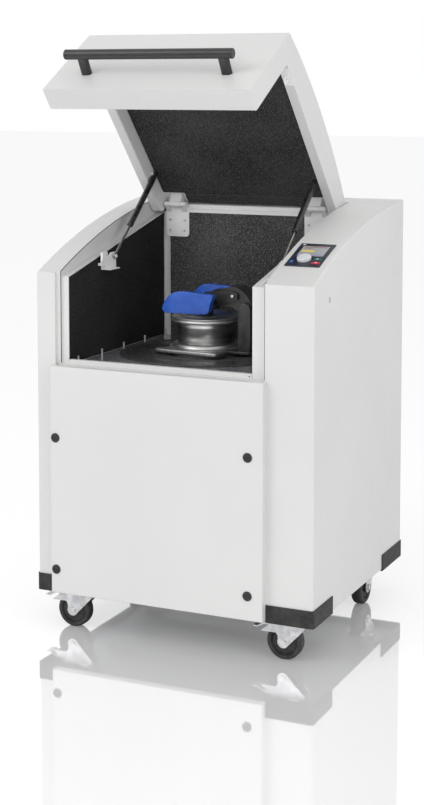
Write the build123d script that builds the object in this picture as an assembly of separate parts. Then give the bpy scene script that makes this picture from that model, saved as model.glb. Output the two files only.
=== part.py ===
from build123d import *
import math
import os

# Vibratory disc mill, in millimetres
# X runs to the right, Y to the back and Z up; the floor is Z = 0
# The machine is drawn about its cabinet's middle, and moved to its own frame at the end

# Cabinet
HALF_WIDTH = 415.0
HALF_DEPTH = 370.0
SKIRT_Z = 112.0
CREST_FRONT = 1012.0
CREST_REAR = 1190.0
CREST_RADIUS = 1975.0
LEFT_INNER = -340.0
RIGHT_INNER = 276.5
SHEET = 2.0
EDGE_ROUND = 6.0
FRONT_STEP = 16.0
FRONT_STEP_DEPTH = 8.0
SKIRT_WALL = 3.0
DECK_Z = 128.0
DECK_SHEET = 5.0
WINDOW_Y = (-250.0, 250.0)
WINDOW_Z = (190.0, 700.0)
FIT = 0.3
RUNNING = 0.08

# Corner bumpers
BUMPER_PROUD = 3.0
BUMPER_WALL = 6.0
BUMPER_Z = 106.0
BUMPER_HEIGHT = 48.0
BUMPER_FRONT_RUN = 147.0
BUMPER_REAR_RUN = 181.0

# Grinding chamber
WALL_THICK = 20.0
RIGHT_WALL_X = 235.0
JAMB_Y = -357.0
WALL_TOP_FRONT = 1002.0
WALL_SLOPE = 12.9
BACK_Y = 250.0
FLOOR_Z = 755.0
FLOOR_SHEET = 5.0
FOAM_DEPTH = 12.0
FOAM_PROUD = 1.0
FOAM_RIM = 3.0
BACK_FOAM = 15.0
BACK_FOAM_INSET = 24.0
RAIL_Z = 1140.0
RAIL_HEIGHT = 25.0
RAIL_DEPTH = 15.0
DECK_STRIP_Z = 1150.0
RISER_Y = 278.0
SEAL_X = -55.0
SEAL_Y = -20.0
SEAL_RADIUS = 250.0
SEAL_HOLE = 130.0
STUD_ROWS = (-313.0, -174.0, -38.0, 100.0, 240.0)

# Front cover
COVER_LEFT = -360.0
COVER_RIGHT = 281.0
COVER_TOP = 754.0
COVER_DEPTH = 25.0
LOCK_RADIUS = 13.0
LOCK_X = (-344.0, 238.0)
LOCK_Z = (553.0, 179.0)

# Lid, drawn closed and then turned to its open rest
LID_LEFT = -336.0
LID_RIGHT = 272.0
LID_FRONT = -429.0
LID_LEG = 67.0
LID_BOTTOM = 757.0
LID_BOTTOM_SLOPE = 9.0
LID_BROW = 1063.0
LID_REAR = 237.0
LID_CREST = 1209.0
LID_RADIUS = 1780.0
LID_GAP = 4.0
LID_BEND = 8.0
FLANGE = 28.0
LINER_DEPTH = 60.0
LID_FOAM = 12.0
LID_FOAM_REAR = 185.0
HINGE_Y = 215.0
HINGE_Z = 1166.0
OPEN_ANGLE = 60.0

# Handle
HANDLE_RADIUS = 14.0
HANDLE_LEFT = -290.0
HANDLE_RIGHT = 206.0
HANDLE_UP = 85.0
HANDLE_OFF = 59.0
POST_X = (-240.0, 175.0)

# Hinges
HINGE_X = (-267.0, 190.5)
HINGE_PLATE_WIDTH = 77.0
HINGE_PLATE_HEIGHT = 92.0
HINGE_PLATE = 4.0
KNUCKLE_RADIUS = 10.0
KNUCKLE_WIDTH = 37.0
PIN_RADIUS = 4.0

# Gas struts
STRUT_FOOT = (-127.0, 1038.0)
STRUT_HEAD = (138.0, 1262.0)
STRUT_X = (-296.5, 224.0)
STRUT_ROD = 4.0
STRUT_BARREL = 9.0
STRUT_EYE = 8.0
STRUT_EYE_WIDTH = 7.0
STRUT_PIN = 3.5
ROD_SHOWN = 116.0
ROD_LENGTH = 218.0
STRUT_STROKE = 101.0

# Control panel on the right housing
PANEL_X = 342.0
PANEL_Y = -212.0
PANEL_WIDTH = 101.0
PANEL_LENGTH = 140.0
PANEL_THICK = 4.0
PANEL_PROUD = 1.2
KNOB_RADIUS = 19.5
KNOB_HEIGHT = 9.0
KEY_TRAVEL = 1.0

# Casters
WHEEL_RADIUS = 50.0
WHEEL_WIDTH = 32.0
CASTER_TRAIL = 33.0
AXLE_RADIUS = 6.0
CASTERS = (
    ("front_left", -288.0, -325.0, 0.0),
    ("front_right", 354.0, -325.0, 0.0),
    ("rear_left", -350.0, 233.0, 90.0),
    ("rear_right", 350.0, 233.0, 90.0),
)

# Drive and mill
MILL_X = -58.0
MILL_Y = -10.0
FRAME_TOP = 440.0
MOUNT_HEIGHT = 70.0
MOUNT_RADIUS = 28.0
MOUNT_SPREAD = 165.0
DRIVE_PLATE = 16.0
COLUMN_RADIUS = 100.0
CARRIER_TOP = 775.0
CARRIER_THICK = 10.0
MOTOR_RADIUS = 95.0
MOTOR_LENGTH = 230.0
SHAFT_RADIUS = 14.0
JAR_RADIUS = 94.5
JAR_WALL = 12.0
JAR_TOP = 848.0
JAR_LID_RADIUS = 109.5
JAR_LID_HEIGHT = 21.0
RING_OUTER = 72.0
RING_INNER = 58.0
PUCK_RADIUS = 48.0
CLAMP_X = 84.0
CLAMP_Z = 892.0


def block(x0, x1, y0, y1, z0, z1):
    middle = Pos((x0 + x1) / 2, (y0 + y1) / 2, (z0 + z1) / 2)
    return middle * Box(x1 - x0, y1 - y0, z1 - z0)


def prism_x(points, x0, x1):
    """A closed outline of (y, z) points, extruded along X."""
    return extrude(Plane.YZ.offset(x0) * Polygon(*points, align=None), amount=x1 - x0, dir=(1, 0, 0))


def bar_x(x0, x1, y, z, radius):
    return Pos((x0 + x1) / 2, y, z) * Rot(0, 90, 0) * Cylinder(radius, x1 - x0)


def bar_y(x, y0, y1, z, radius):
    return Pos(x, (y0 + y1) / 2, z) * Rot(90, 0, 0) * Cylinder(radius, y1 - y0)


def bar_z(x, y, z0, z1, radius):
    return Pos(x, y, (z0 + z1) / 2) * Cylinder(radius, z1 - z0)


def turned(points, x, y):
    """A closed outline of (radius, z) points, turned about a vertical axis."""
    outline = Plane.XZ * Polygon(*points, align=None)
    return Pos(x, y, 0) * revolve(outline, axis=Axis.Z)


def arc_centre(start, end, radius):
    """Centre of the arc that bulges up from start to end, both (y, z)."""
    across = end[0] - start[0]
    rise = end[1] - start[1]
    chord = math.hypot(across, rise)
    drop = math.sqrt(radius ** 2 - (chord / 2) ** 2)
    middle_y = (start[0] + end[0]) / 2
    middle_z = (start[1] + end[1]) / 2
    return middle_y + rise / chord * drop, middle_z - across / chord * drop


CREST_CENTRE = arc_centre((-HALF_DEPTH, CREST_FRONT), (HALF_DEPTH, CREST_REAR), CREST_RADIUS)
LID_CENTRE = arc_centre((LID_FRONT, LID_BROW), (LID_REAR, LID_CREST), LID_RADIUS)


def crest_z(y, inset=0.0):
    reach = CREST_RADIUS - inset
    return CREST_CENTRE[1] + math.sqrt(reach ** 2 - (y - CREST_CENTRE[0]) ** 2)


def lid_skin_z(y, inset=0.0):
    reach = LID_RADIUS - inset
    return LID_CENTRE[1] + math.sqrt(reach ** 2 - (y - LID_CENTRE[0]) ** 2)


def wall_top(y):
    return WALL_TOP_FRONT + (y - JAMB_Y) * math.tan(math.radians(WALL_SLOPE))


def flange_z(y):
    return wall_top(y) + LID_GAP + 1.1


def arched(x0, x1, y0, y1, bottom, inset=0.0):
    """A solid under the crest line, from y0 to y1 and from bottom up."""
    low_front = (y0, bottom)
    low_rear = (y1, bottom)
    top_front = (y0, crest_z(y0, inset))
    top_rear = (y1, crest_z(y1, inset))
    middle = ((y0 + y1) / 2, crest_z((y0 + y1) / 2, inset))
    outline = Line(low_front, top_front)
    outline += ThreePointArc(top_front, middle, top_rear)
    outline += Line(top_rear, low_rear)
    outline += Line(low_rear, low_front)
    return extrude(Plane.YZ.offset(x0) * make_face(outline), amount=x1 - x0, dir=(1, 0, 0))


def opened(shape):
    """Turn a piece of the closed lid to the open rest."""
    return Pos(0, HINGE_Y, HINGE_Z) * Rot(-OPEN_ANGLE, 0, 0) * Pos(0, -HINGE_Y, -HINGE_Z) * shape


def opened_point(y, z):
    angle = math.radians(-OPEN_ANGLE)
    along = y - HINGE_Y
    up = z - HINGE_Z
    new_y = HINGE_Y + along * math.cos(angle) - up * math.sin(angle)
    new_z = HINGE_Z + along * math.sin(angle) + up * math.cos(angle)
    return new_y, new_z


parts = {}


# Base and housings

def corner_bumper(side_x, end_y, inner_x, run):
    """An L of rubber round one lower corner, proud of the skin."""
    out = math.copysign(1, side_x)
    end = math.copysign(1, end_y)
    outer_x = side_x + out * BUMPER_PROUD
    outer_y = end_y + end * BUMPER_PROUD
    top = BUMPER_Z + BUMPER_HEIGHT
    xs = sorted((outer_x, inner_x))
    ys = sorted((outer_y, outer_y - end * run))
    whole = block(xs[0], xs[1], ys[0], ys[1], BUMPER_Z, top)
    corner = whole.edges().filter_by(Axis.Z).sort_by(
        lambda e: (e.center().X - outer_x) ** 2 + (e.center().Y - outer_y) ** 2)[0]
    whole = fillet(corner, EDGE_ROUND + BUMPER_PROUD / 2)
    hollow_xs = sorted((outer_x - out * BUMPER_WALL, inner_x - out))
    hollow_ys = sorted((outer_y - end * BUMPER_WALL, outer_y - end * (run + 1)))
    return whole - block(hollow_xs[0], hollow_xs[1], hollow_ys[0], hollow_ys[1], BUMPER_Z - 1, top + 1)


def bumpers():
    pieces = []
    for side in (-HALF_WIDTH, HALF_WIDTH):
        inner = COVER_LEFT if side < 0 else COVER_RIGHT
        pieces.append(corner_bumper(side, -HALF_DEPTH, inner, BUMPER_FRONT_RUN))
        inner = LEFT_INNER if side < 0 else RIGHT_INNER
        pieces.append(corner_bumper(side, HALF_DEPTH, inner, BUMPER_REAR_RUN))
    return pieces


def housing(outer_x, inner_x, rubber):
    """One side housing with its arched top and open skirt."""
    xs = sorted((outer_x, inner_x))
    body = arched(xs[0], xs[1], -HALF_DEPTH, HALF_DEPTH, SKIRT_Z)
    crest = [e for e in body.edges() if e.geom_type == GeomType.CIRCLE and abs(e.center().X - outer_x) < 1]
    front = [e for e in body.edges().filter_by(Axis.Z)
             if abs(e.center().X - outer_x) < 1 and e.center().Y < 0]
    rear = [e for e in body.edges().filter_by(Axis.Z)
            if abs(e.center().X - outer_x) < 1 and e.center().Y > 0]
    body = fillet(crest + front + rear, EDGE_ROUND)
    inward = -math.copysign(1, outer_x)
    hollow = sorted((outer_x + inward * SKIRT_WALL, inner_x + inward))
    body -= block(hollow[0], hollow[1], -HALF_DEPTH + SKIRT_WALL, HALF_DEPTH - SKIRT_WALL,
                  SKIRT_Z - 1, DECK_Z + DECK_SHEET)
    for piece in rubber:
        body -= piece
    return body


def housing_hollow(outer_x, inner_x):
    """The room inside a housing's sheet, over the deck."""
    inward = -math.copysign(1, outer_x)
    low = sorted((outer_x + inward * SKIRT_WALL, inner_x - inward * SHEET))
    high = sorted((outer_x + inward * SHEET, inner_x - inward * SHEET))
    step = FRONT_STEP_DEPTH if inner_x < 0 else 0
    hollow = block(low[0], low[1], -HALF_DEPTH + SKIRT_WALL + step, HALF_DEPTH - SKIRT_WALL,
                   DECK_Z + DECK_SHEET - 1, BUMPER_Z + BUMPER_HEIGHT + 3)
    hollow += arched(high[0], high[1], -HALF_DEPTH + SHEET + step, HALF_DEPTH - SHEET,
                     BUMPER_Z + BUMPER_HEIGHT + 2, SHEET)
    return hollow


def inner_window(inner_x):
    """The cut-out in a housing's inner wall, low down beside the drive."""
    return block(inner_x - SHEET - 1, inner_x + SHEET + 1, WINDOW_Y[0], WINDOW_Y[1], WINDOW_Z[0], WINDOW_Z[1])


rubber = bumpers()
parts["corner_bumpers"] = Compound(children=rubber)

left_body = housing(-HALF_WIDTH, LEFT_INNER, rubber)
left_body -= housing_hollow(-HALF_WIDTH, LEFT_INNER) + inner_window(LEFT_INNER)
left_body -= block(LEFT_INNER - FRONT_STEP, LEFT_INNER + 1, -HALF_DEPTH - 1,
                   -HALF_DEPTH + FRONT_STEP_DEPTH, SKIRT_Z - 1, CREST_REAR)
parts["left_housing"] = left_body

right_body = housing(HALF_WIDTH, RIGHT_INNER, rubber)

# Release port, a slot in the right side for the lid's emergency key
PORT_Y = -257.0
PORT_Z = 965.0
PORT_DEPTH = 12.0
PORT_BOSS = 15.0
port_face = Plane(origin=(HALF_WIDTH, PORT_Y, PORT_Z), x_dir=(0, 0, 1), z_dir=(1, 0, 0))

# Control panel frame, square to the crest at the panel's middle
crest_angle = math.degrees(math.asin((CREST_CENTRE[0] - PANEL_Y) / CREST_RADIUS))
panel_plane = Plane(origin=(PANEL_X, PANEL_Y, crest_z(PANEL_Y)),
                    x_dir=(1, 0, 0),
                    z_dir=(0, -math.sin(math.radians(crest_angle)), math.cos(math.radians(crest_angle))))


def on_panel(u, v, shape, bottom, top):
    """A flat shape on the panel, extruded between two heights over the housing."""
    return extrude(panel_plane.offset(bottom) * Pos(u, v) * shape, amount=top - bottom)


SEAT = PANEL_PROUD - PANEL_THICK
TRAY_DEPTH = 12.0
TRAY_RIM = 4.0
right_hollow = housing_hollow(HALF_WIDTH, RIGHT_INNER)
right_hollow -= extrude(port_face * SlotOverall(17 + 2 * TRAY_RIM, 9 + 2 * TRAY_RIM), amount=-PORT_BOSS)
right_hollow -= on_panel(0, 0, Rectangle(PANEL_WIDTH + 2 * TRAY_RIM, PANEL_LENGTH + 2 * TRAY_RIM),
                         -TRAY_DEPTH, PANEL_PROUD)
right_body -= right_hollow + inner_window(RIGHT_INNER)
right_body -= extrude(port_face * SlotOverall(17, 9), amount=-PORT_DEPTH)
KEYS = (
    ("menu_button", -37.0, -46.0, 18.0, 22.0),
    ("start_button", 30.0, -26.0, 20.0, 11.0),
    ("stop_button", 32.5, -48.5, 22.0, 12.0),
)
KNOB_U = -6.9
KNOB_V = -29.0
DISPLAY_WIDTH = 76.0
DISPLAY_LENGTH = 62.0
DISPLAY_V = 23.5
bezel_shape = RectangleRounded(PANEL_WIDTH, PANEL_LENGTH, 3)
bezel = on_panel(0, 0, bezel_shape, SEAT, PANEL_PROUD)
bezel = chamfer(bezel.faces().sort_by(lambda f: f.center().Z)[-1].edges(), 0.6)
right_body -= on_panel(0, 0, bezel_shape, SEAT, PANEL_PROUD + 20)
display = on_panel(0, DISPLAY_V, Rectangle(DISPLAY_WIDTH, DISPLAY_LENGTH), PANEL_PROUD - 2.5, PANEL_PROUD - 0.4)
bezel -= on_panel(0, DISPLAY_V, Rectangle(DISPLAY_WIDTH, DISPLAY_LENGTH), PANEL_PROUD - 2.5, PANEL_PROUD + 1)
parts["display_window"] = display

KEY_POCKET = 6.0
for name, u, v, width, length in KEYS:
    key_shape = RectangleRounded(width, length, 2)
    hole_shape = RectangleRounded(width + 2 * FIT, length + 2 * FIT, 2 + FIT)
    bezel -= on_panel(u, v, hole_shape, SEAT - 1, PANEL_PROUD + 1)
    right_body -= on_panel(u, v, hole_shape, SEAT - KEY_POCKET, SEAT + 0.1)
    key = on_panel(u, v, key_shape, SEAT - KEY_POCKET + KEY_TRAVEL + 0.5, PANEL_PROUD + 1.5)
    parts[name] = chamfer(key.faces().sort_by(Axis.Z)[-1].edges(), 0.6)

spindle = on_panel(KNOB_U, KNOB_V, Circle(3), SEAT - KEY_POCKET + FIT, PANEL_PROUD + 1)
right_body -= on_panel(KNOB_U, KNOB_V, Circle(3 + RUNNING), SEAT - KEY_POCKET, SEAT + 0.1)
bezel -= on_panel(KNOB_U, KNOB_V, Circle(3 + RUNNING), SEAT - 1, PANEL_PROUD + 1)
knob = on_panel(KNOB_U, KNOB_V, Circle(KNOB_RADIUS), PANEL_PROUD + FIT, PANEL_PROUD + KNOB_HEIGHT)
knob_top = knob.faces().sort_by(lambda f: (f.center() - panel_plane.origin).dot(panel_plane.z_dir))[-1]
knob = chamfer(knob_top.edges(), 2)
for turn in range(18):
    notch = Pos(KNOB_U, KNOB_V) * Rot(0, 0, turn * 20) * Pos(KNOB_RADIUS, 0) * Rectangle(1.4, 2)
    knob -= extrude(panel_plane.offset(PANEL_PROUD) * notch, amount=KNOB_HEIGHT - 2)
parts["menu_knob"] = knob + spindle
parts["control_bezel"] = bezel
parts["right_housing"] = right_body

# Rubber seals along the housings' inner edges
SEAL_STRIP = 2.0
SEAL_STRIP_PROUD = 1.2


def edge_seal(x0, x1):
    outer = arched(x0, x1, -HALF_DEPTH + FRONT_STEP_DEPTH - SEAL_STRIP_PROUD, RISER_Y - 2,
                   COVER_TOP + 6, -SEAL_STRIP_PROUD)
    inner = arched(x0 - 1, x1 + 1, -HALF_DEPTH + FRONT_STEP_DEPTH, HALF_DEPTH, COVER_TOP, 0)
    return outer - inner


parts["edge_seals"] = Compound(children=[
    edge_seal(LEFT_INNER - SEAL_STRIP, LEFT_INNER),
])

# Chassis: deck plate, ribs and the frame that carries the drive
inside = HALF_WIDTH - SKIRT_WALL
chassis = block(-inside, inside, -HALF_DEPTH + SKIRT_WALL, HALF_DEPTH - SKIRT_WALL, DECK_Z, DECK_Z + DECK_SHEET)
chassis += block(LEFT_INNER, RIGHT_INNER, -HALF_DEPTH, -HALF_DEPTH + SKIRT_WALL, SKIRT_Z, DECK_Z + DECK_SHEET)
chassis += block(LEFT_INNER, RIGHT_INNER, HALF_DEPTH - SKIRT_WALL, HALF_DEPTH, SKIRT_Z, DECK_Z + DECK_SHEET)
for rib_y in (-150.0, 130.0):
    chassis += block(LEFT_INNER + 30, RIGHT_INNER - 30, rib_y, rib_y + 3, SKIRT_Z, DECK_Z)
for piece in rubber:
    chassis -= piece
parts["base_frame"] = chassis

# Rear panel with louvre slots and the mains inlet
PANEL_SHEET = 3.0
REAR_TOP = 1100.0
INLET_X = 190.0
INLET_Z = 230.0
INLET_WIDTH = 50.0
INLET_HEIGHT = 60.0
rear_panel = block(LEFT_INNER, RIGHT_INNER, HALF_DEPTH - PANEL_SHEET, HALF_DEPTH,
                   DECK_Z + DECK_SHEET, REAR_TOP)
for row in range(10):
    for column_x in (-230.0, -32.0, 166.0):
        rear_panel -= block(column_x - 60, column_x + 60, HALF_DEPTH - PANEL_SHEET - 1, HALF_DEPTH + 1,
                            400 + 22 * row, 406 + 22 * row)
rear_panel -= block(INLET_X - INLET_WIDTH / 2, INLET_X + INLET_WIDTH / 2, HALF_DEPTH - PANEL_SHEET - 1,
                    HALF_DEPTH + 1, INLET_Z - INLET_HEIGHT / 2, INLET_Z + INLET_HEIGHT / 2)
parts["rear_panel"] = rear_panel

inlet = block(INLET_X - INLET_WIDTH / 2, INLET_X + INLET_WIDTH / 2, HALF_DEPTH - 32, HALF_DEPTH,
              INLET_Z - INLET_HEIGHT / 2, INLET_Z + INLET_HEIGHT / 2)
inlet += block(INLET_X - INLET_WIDTH / 2 - 4, INLET_X + INLET_WIDTH / 2 + 4, HALF_DEPTH, HALF_DEPTH + 2,
               INLET_Z - INLET_HEIGHT / 2 - 4, INLET_Z + INLET_HEIGHT / 2 + 4)
socket_x = (INLET_X - 12, INLET_X + 12)
inlet -= block(socket_x[0], socket_x[1], HALF_DEPTH - 16, HALF_DEPTH + 3, INLET_Z - 24, INLET_Z - 7)
for pin_x in (INLET_X - 7, INLET_X, INLET_X + 7):
    inlet += block(pin_x - 1, pin_x + 1, HALF_DEPTH - 16, HALF_DEPTH - 2, INLET_Z - 18, INLET_Z - 13)
inlet -= block(INLET_X - 11, INLET_X + 11, HALF_DEPTH - 2, HALF_DEPTH + 3, INLET_Z + 4, INLET_Z + 24)
inlet += prism_x([(HALF_DEPTH - 2, INLET_Z + 5), (HALF_DEPTH - 2, INLET_Z + 23),
                  (HALF_DEPTH + 1, INLET_Z + 23)], INLET_X - 10, INLET_X + 10)
parts["mains_inlet"] = inlet

# Chamber walls: trays that hold the side foams
def wall_outline(inset):
    return [(JAMB_Y + inset, FLOOR_Z - FLOOR_SHEET + inset),
            (JAMB_Y + inset, wall_top(JAMB_Y + inset) - inset),
            (BACK_Y, wall_top(BACK_Y) - inset),
            (BACK_Y, FLOOR_Z - FLOOR_SHEET + inset)]


def foam_outline(inset):
    return [(JAMB_Y + inset, FLOOR_Z), (JAMB_Y + inset, wall_top(JAMB_Y + inset) - inset),
            (BACK_Y - SHEET, wall_top(BACK_Y - SHEET) - inset), (BACK_Y - SHEET, FLOOR_Z)]


left_wall_x = LEFT_INNER + WALL_THICK
left_wall = prism_x(wall_outline(0), LEFT_INNER, left_wall_x)
left_wall -= prism_x(foam_outline(FOAM_RIM), left_wall_x - FOAM_DEPTH, left_wall_x + 1)
left_wall -= block(LEFT_INNER, left_wall_x + 1, BACK_Y, BACK_Y + 40, FLOOR_Z - 20, CREST_REAR)
foam_left = prism_x(foam_outline(FOAM_RIM), left_wall_x - FOAM_DEPTH, left_wall_x + FOAM_PROUD)

right_wall = prism_x(wall_outline(0), RIGHT_WALL_X, RIGHT_INNER)
right_wall -= prism_x(foam_outline(FOAM_RIM), RIGHT_WALL_X - 1, RIGHT_WALL_X + FOAM_DEPTH)
right_wall -= block(269, RIGHT_INNER + 1, JAMB_Y - 1, JAMB_Y + 12, FLOOR_Z - 20, CREST_REAR)

# Lid lock in a pocket of the right wall, with a slot for the striker
LOCK_X0 = 247.0 + 2.0
LOCK_X1 = 267.0
LOCK_Y0 = -338.0
LOCK_Y1 = -286.0
LOCK_DEPTH = 45.0
STRIKER_X = 258.0
STRIKER_Y = -314.0
lock_outline = [(LOCK_Y0, wall_top(LOCK_Y0) - LOCK_DEPTH), (LOCK_Y0, wall_top(LOCK_Y0)),
                (LOCK_Y1, wall_top(LOCK_Y1)), (LOCK_Y1, wall_top(LOCK_Y0) - LOCK_DEPTH)]
lid_lock = prism_x(lock_outline, LOCK_X0, LOCK_X1)
right_wall -= prism_x([lock_outline[0], (LOCK_Y0, wall_top(LOCK_Y0) + 20),
                       (LOCK_Y1, wall_top(LOCK_Y1) + 20), lock_outline[3]], LOCK_X0, LOCK_X1)
lid_lock -= block(STRIKER_X - 4, STRIKER_X + 4, STRIKER_Y - 22, STRIKER_Y + 16,
                  wall_top(LOCK_Y0) - 24, wall_top(LOCK_Y1) + 10)
parts["lid_lock"] = lid_lock
parts["chamber_walls"] = Compound(children=[left_wall, right_wall])
foam_right = prism_x(foam_outline(FOAM_RIM), RIGHT_WALL_X - FOAM_PROUD, RIGHT_WALL_X + FOAM_DEPTH)

# Rear bulkhead: the sheet behind the back foam, with the rail folded along its top
inner_left = left_wall_x
bulkhead = block(inner_left, RIGHT_WALL_X, BACK_Y - SHEET, BACK_Y, FLOOR_Z - FLOOR_SHEET, RAIL_Z + 1)
rail = prism_x([(BACK_Y - RAIL_DEPTH, RAIL_Z), (BACK_Y - RAIL_DEPTH, RAIL_Z + 10),
                (BACK_Y - RAIL_DEPTH + 3, RAIL_Z + 13), (BACK_Y - RAIL_DEPTH + 3, RAIL_Z + RAIL_HEIGHT - 2),
                (BACK_Y - RAIL_DEPTH + 5, RAIL_Z + RAIL_HEIGHT), (BACK_Y - 1, RAIL_Z + RAIL_HEIGHT),
                (BACK_Y - 1, DECK_STRIP_Z + 2), (BACK_Y, DECK_STRIP_Z + 1), (BACK_Y, RAIL_Z)], -301, 229)
parts["rear_bulkhead"] = bulkhead + rail

# Rear deck: strip behind the rail, riser and the top between the housings
deck = block(LEFT_INNER, RIGHT_INNER, BACK_Y, RISER_Y + PANEL_SHEET, DECK_STRIP_Z - PANEL_SHEET, DECK_STRIP_Z)
deck += block(LEFT_INNER, RIGHT_INNER, RISER_Y, RISER_Y + PANEL_SHEET, DECK_STRIP_Z - PANEL_SHEET, crest_z(RISER_Y))
deck += (arched(LEFT_INNER, RIGHT_INNER, RISER_Y, HALF_DEPTH, REAR_TOP)
         - arched(LEFT_INNER - 1, RIGHT_INNER + 1, RISER_Y + PANEL_SHEET, HALF_DEPTH - PANEL_SHEET,
                  REAR_TOP - 1, PANEL_SHEET)
         - block(LEFT_INNER - 1, RIGHT_INNER + 1, RISER_Y - 1, HALF_DEPTH - PANEL_SHEET,
                 REAR_TOP - 1, DECK_STRIP_Z - PANEL_SHEET))
parts["rear_deck"] = deck

foam_back = block(left_wall_x + BACK_FOAM_INSET, RIGHT_WALL_X - FOAM_PROUD,
                  BACK_Y - BACK_FOAM, BACK_Y - SHEET, FLOOR_Z, RAIL_Z)
parts["chamber_foams"] = Compound(children=[foam_left, foam_right, foam_back])

# Chamber floor, seal disc and the studs along the side foams
floor = block(left_wall_x, RIGHT_WALL_X, JAMB_Y, BACK_Y - SHEET, FLOOR_Z - FLOOR_SHEET, FLOOR_Z)
floor -= block(MILL_X - SEAL_HOLE, MILL_X + SEAL_HOLE, MILL_Y - SEAL_HOLE, MILL_Y + SEAL_HOLE,
               FLOOR_Z - 20, FLOOR_Z + 20)
parts["chamber_floor"] = floor

seal_outline = [(0, FLOOR_Z), (SEAL_RADIUS, FLOOR_Z), (SEAL_RADIUS, FLOOR_Z + 2.5),
                (SEAL_RADIUS - 4, FLOOR_Z + 5), (SEAL_RADIUS - 14, FLOOR_Z + 5), (SEAL_RADIUS - 20, FLOOR_Z + 3),
                (170, FLOOR_Z + 3), (160, FLOOR_Z + 6), (150, FLOOR_Z + 3), (0, FLOOR_Z + 3)]
floor_seal = turned(seal_outline, SEAL_X, SEAL_Y)
parts["floor_seal"] = floor_seal - bar_z(MILL_X, MILL_Y, FLOOR_Z - 1, FLOOR_Z + 4, SEAL_HOLE)

STUD_RADIUS = 3.5
STUD_HEIGHT = 18.0
stud_x = (left_wall_x + FOAM_PROUD + FIT + STUD_RADIUS, RIGHT_WALL_X - FOAM_PROUD - FIT - STUD_RADIUS)
studs = []
for x in stud_x:
    for y in STUD_ROWS:
        if x > 0 and y > 200:
            continue
        stud = bar_z(x, y, FLOOR_Z, FLOOR_Z + STUD_HEIGHT, STUD_RADIUS)
        studs.append(chamfer(stud.faces().sort_by(Axis.Z)[-1].edges(), 1.2))
parts["floor_studs"] = Compound(children=studs)

# Front rail that closes the chamber's sill, with its step
SILL_Y = -HALF_DEPTH + 2
front_rail = prism_x([(SILL_Y, COVER_TOP - 30), (SILL_Y, FLOOR_Z + 2), (JAMB_Y, FLOOR_Z + 2),
                      (JAMB_Y, FLOOR_Z - FLOOR_SHEET), (JAMB_Y + 4, FLOOR_Z - FLOOR_SHEET),
                      (JAMB_Y + 4, COVER_TOP - 30)], LEFT_INNER, RIGHT_INNER)
rail_top = prism_x([(JAMB_Y, FLOOR_Z), (JAMB_Y, FLOOR_Z + 12), (JAMB_Y + 2, FLOOR_Z + 14),
                    (JAMB_Y + 15, FLOOR_Z + 14), (JAMB_Y + 17, FLOOR_Z + 12), (JAMB_Y + 17, FLOOR_Z)],
                   left_wall_x + FOAM_PROUD, RIGHT_WALL_X - FOAM_PROUD)
rail_top += block(left_wall_x + FOAM_PROUD, RIGHT_WALL_X - FOAM_PROUD, JAMB_Y - 1, JAMB_Y, FLOOR_Z, FLOOR_Z + 12)
front_rail += rail_top
front_rail -= bar_y(RIGHT_WALL_X - 8, JAMB_Y - 2, JAMB_Y + 6, FLOOR_Z + 7, 2.2)
parts["front_rail"] = front_rail

# Front cover: a shallow pan held by four quarter-turn locks
cover_front = -HALF_DEPTH - COVER_DEPTH
cover = block(COVER_LEFT, COVER_RIGHT, cover_front, -HALF_DEPTH, SKIRT_Z, COVER_TOP)
cover = fillet(cover.faces().sort_by(Axis.Y)[0].edges(), 2.5)
cover -= block(COVER_LEFT + SHEET, COVER_RIGHT - SHEET, cover_front + SHEET, -HALF_DEPTH + 1,
               SKIRT_Z + SHEET, COVER_TOP - SHEET)
lock_number = 0
for lock_x in LOCK_X:
    for lock_z in LOCK_Z:
        lock_number += 1
        cover -= bar_y(lock_x, cover_front - 1, cover_front + SHEET + 1, lock_z, 8 + RUNNING)
        lock = bar_y(lock_x, cover_front - 3, cover_front - 0.1, lock_z, LOCK_RADIUS)
        lock = chamfer(lock.faces().sort_by(Axis.Y)[0].edges(), 1)
        lock += bar_y(lock_x, cover_front - 2, cover_front + 12, lock_z, 8)
        lock += block(lock_x - 5, lock_x + 5, cover_front + 9, cover_front + 12, lock_z - 12, lock_z + 12)
        lock -= block(lock_x - 9, lock_x + 9, cover_front - 4, cover_front - 1.4, lock_z - 1.6, lock_z + 1.6)
        parts["cover_lock_%d" % lock_number] = lock
parts["front_cover"] = cover


# Lid: an L-shaped skin of sheet metal with a liner, drawn closed
LEG_Y = LID_FRONT + LID_LEG
REAR_TRIM = 12.0


def leg_bottom(y):
    return LID_BOTTOM + (y - LID_FRONT) * math.tan(math.radians(LID_BOTTOM_SLOPE))


def lid_solid(x0, x1, t):
    """The closed lid's side outline, drawn in by t all round, extruded along X."""
    front = LID_FRONT + t
    leg = LEG_Y - t
    rear = LID_REAR - t
    brow = (front, lid_skin_z(front, t))
    crest = (rear, lid_skin_z(rear, t))
    middle_y = (front + rear) / 2
    corners = [crest, (rear, flange_z(LID_REAR) + REAR_TRIM + t), (LID_REAR - REAR_TRIM, flange_z(LID_REAR - REAR_TRIM) + t),
               (leg, flange_z(leg) + t), (leg, leg_bottom(leg) + t), (front, leg_bottom(front) + t), brow]
    outline = ThreePointArc(brow, (middle_y, lid_skin_z(middle_y, t)), crest)
    outline += Polyline(*corners)
    solid = extrude(Plane.YZ.offset(x0) * make_face(outline), amount=x1 - x0, dir=(1, 0, 0))
    bend = solid.edges().filter_by(Axis.X).sort_by(
        lambda e: (e.center().Y - brow[0]) ** 2 + (e.center().Z - brow[1]) ** 2)[0]
    return fillet(bend, LID_BEND - t)


def cavity_left(grow):
    return LID_LEFT + FLANGE - grow


def cavity_right(grow):
    return LID_RIGHT - FLANGE + grow


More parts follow.
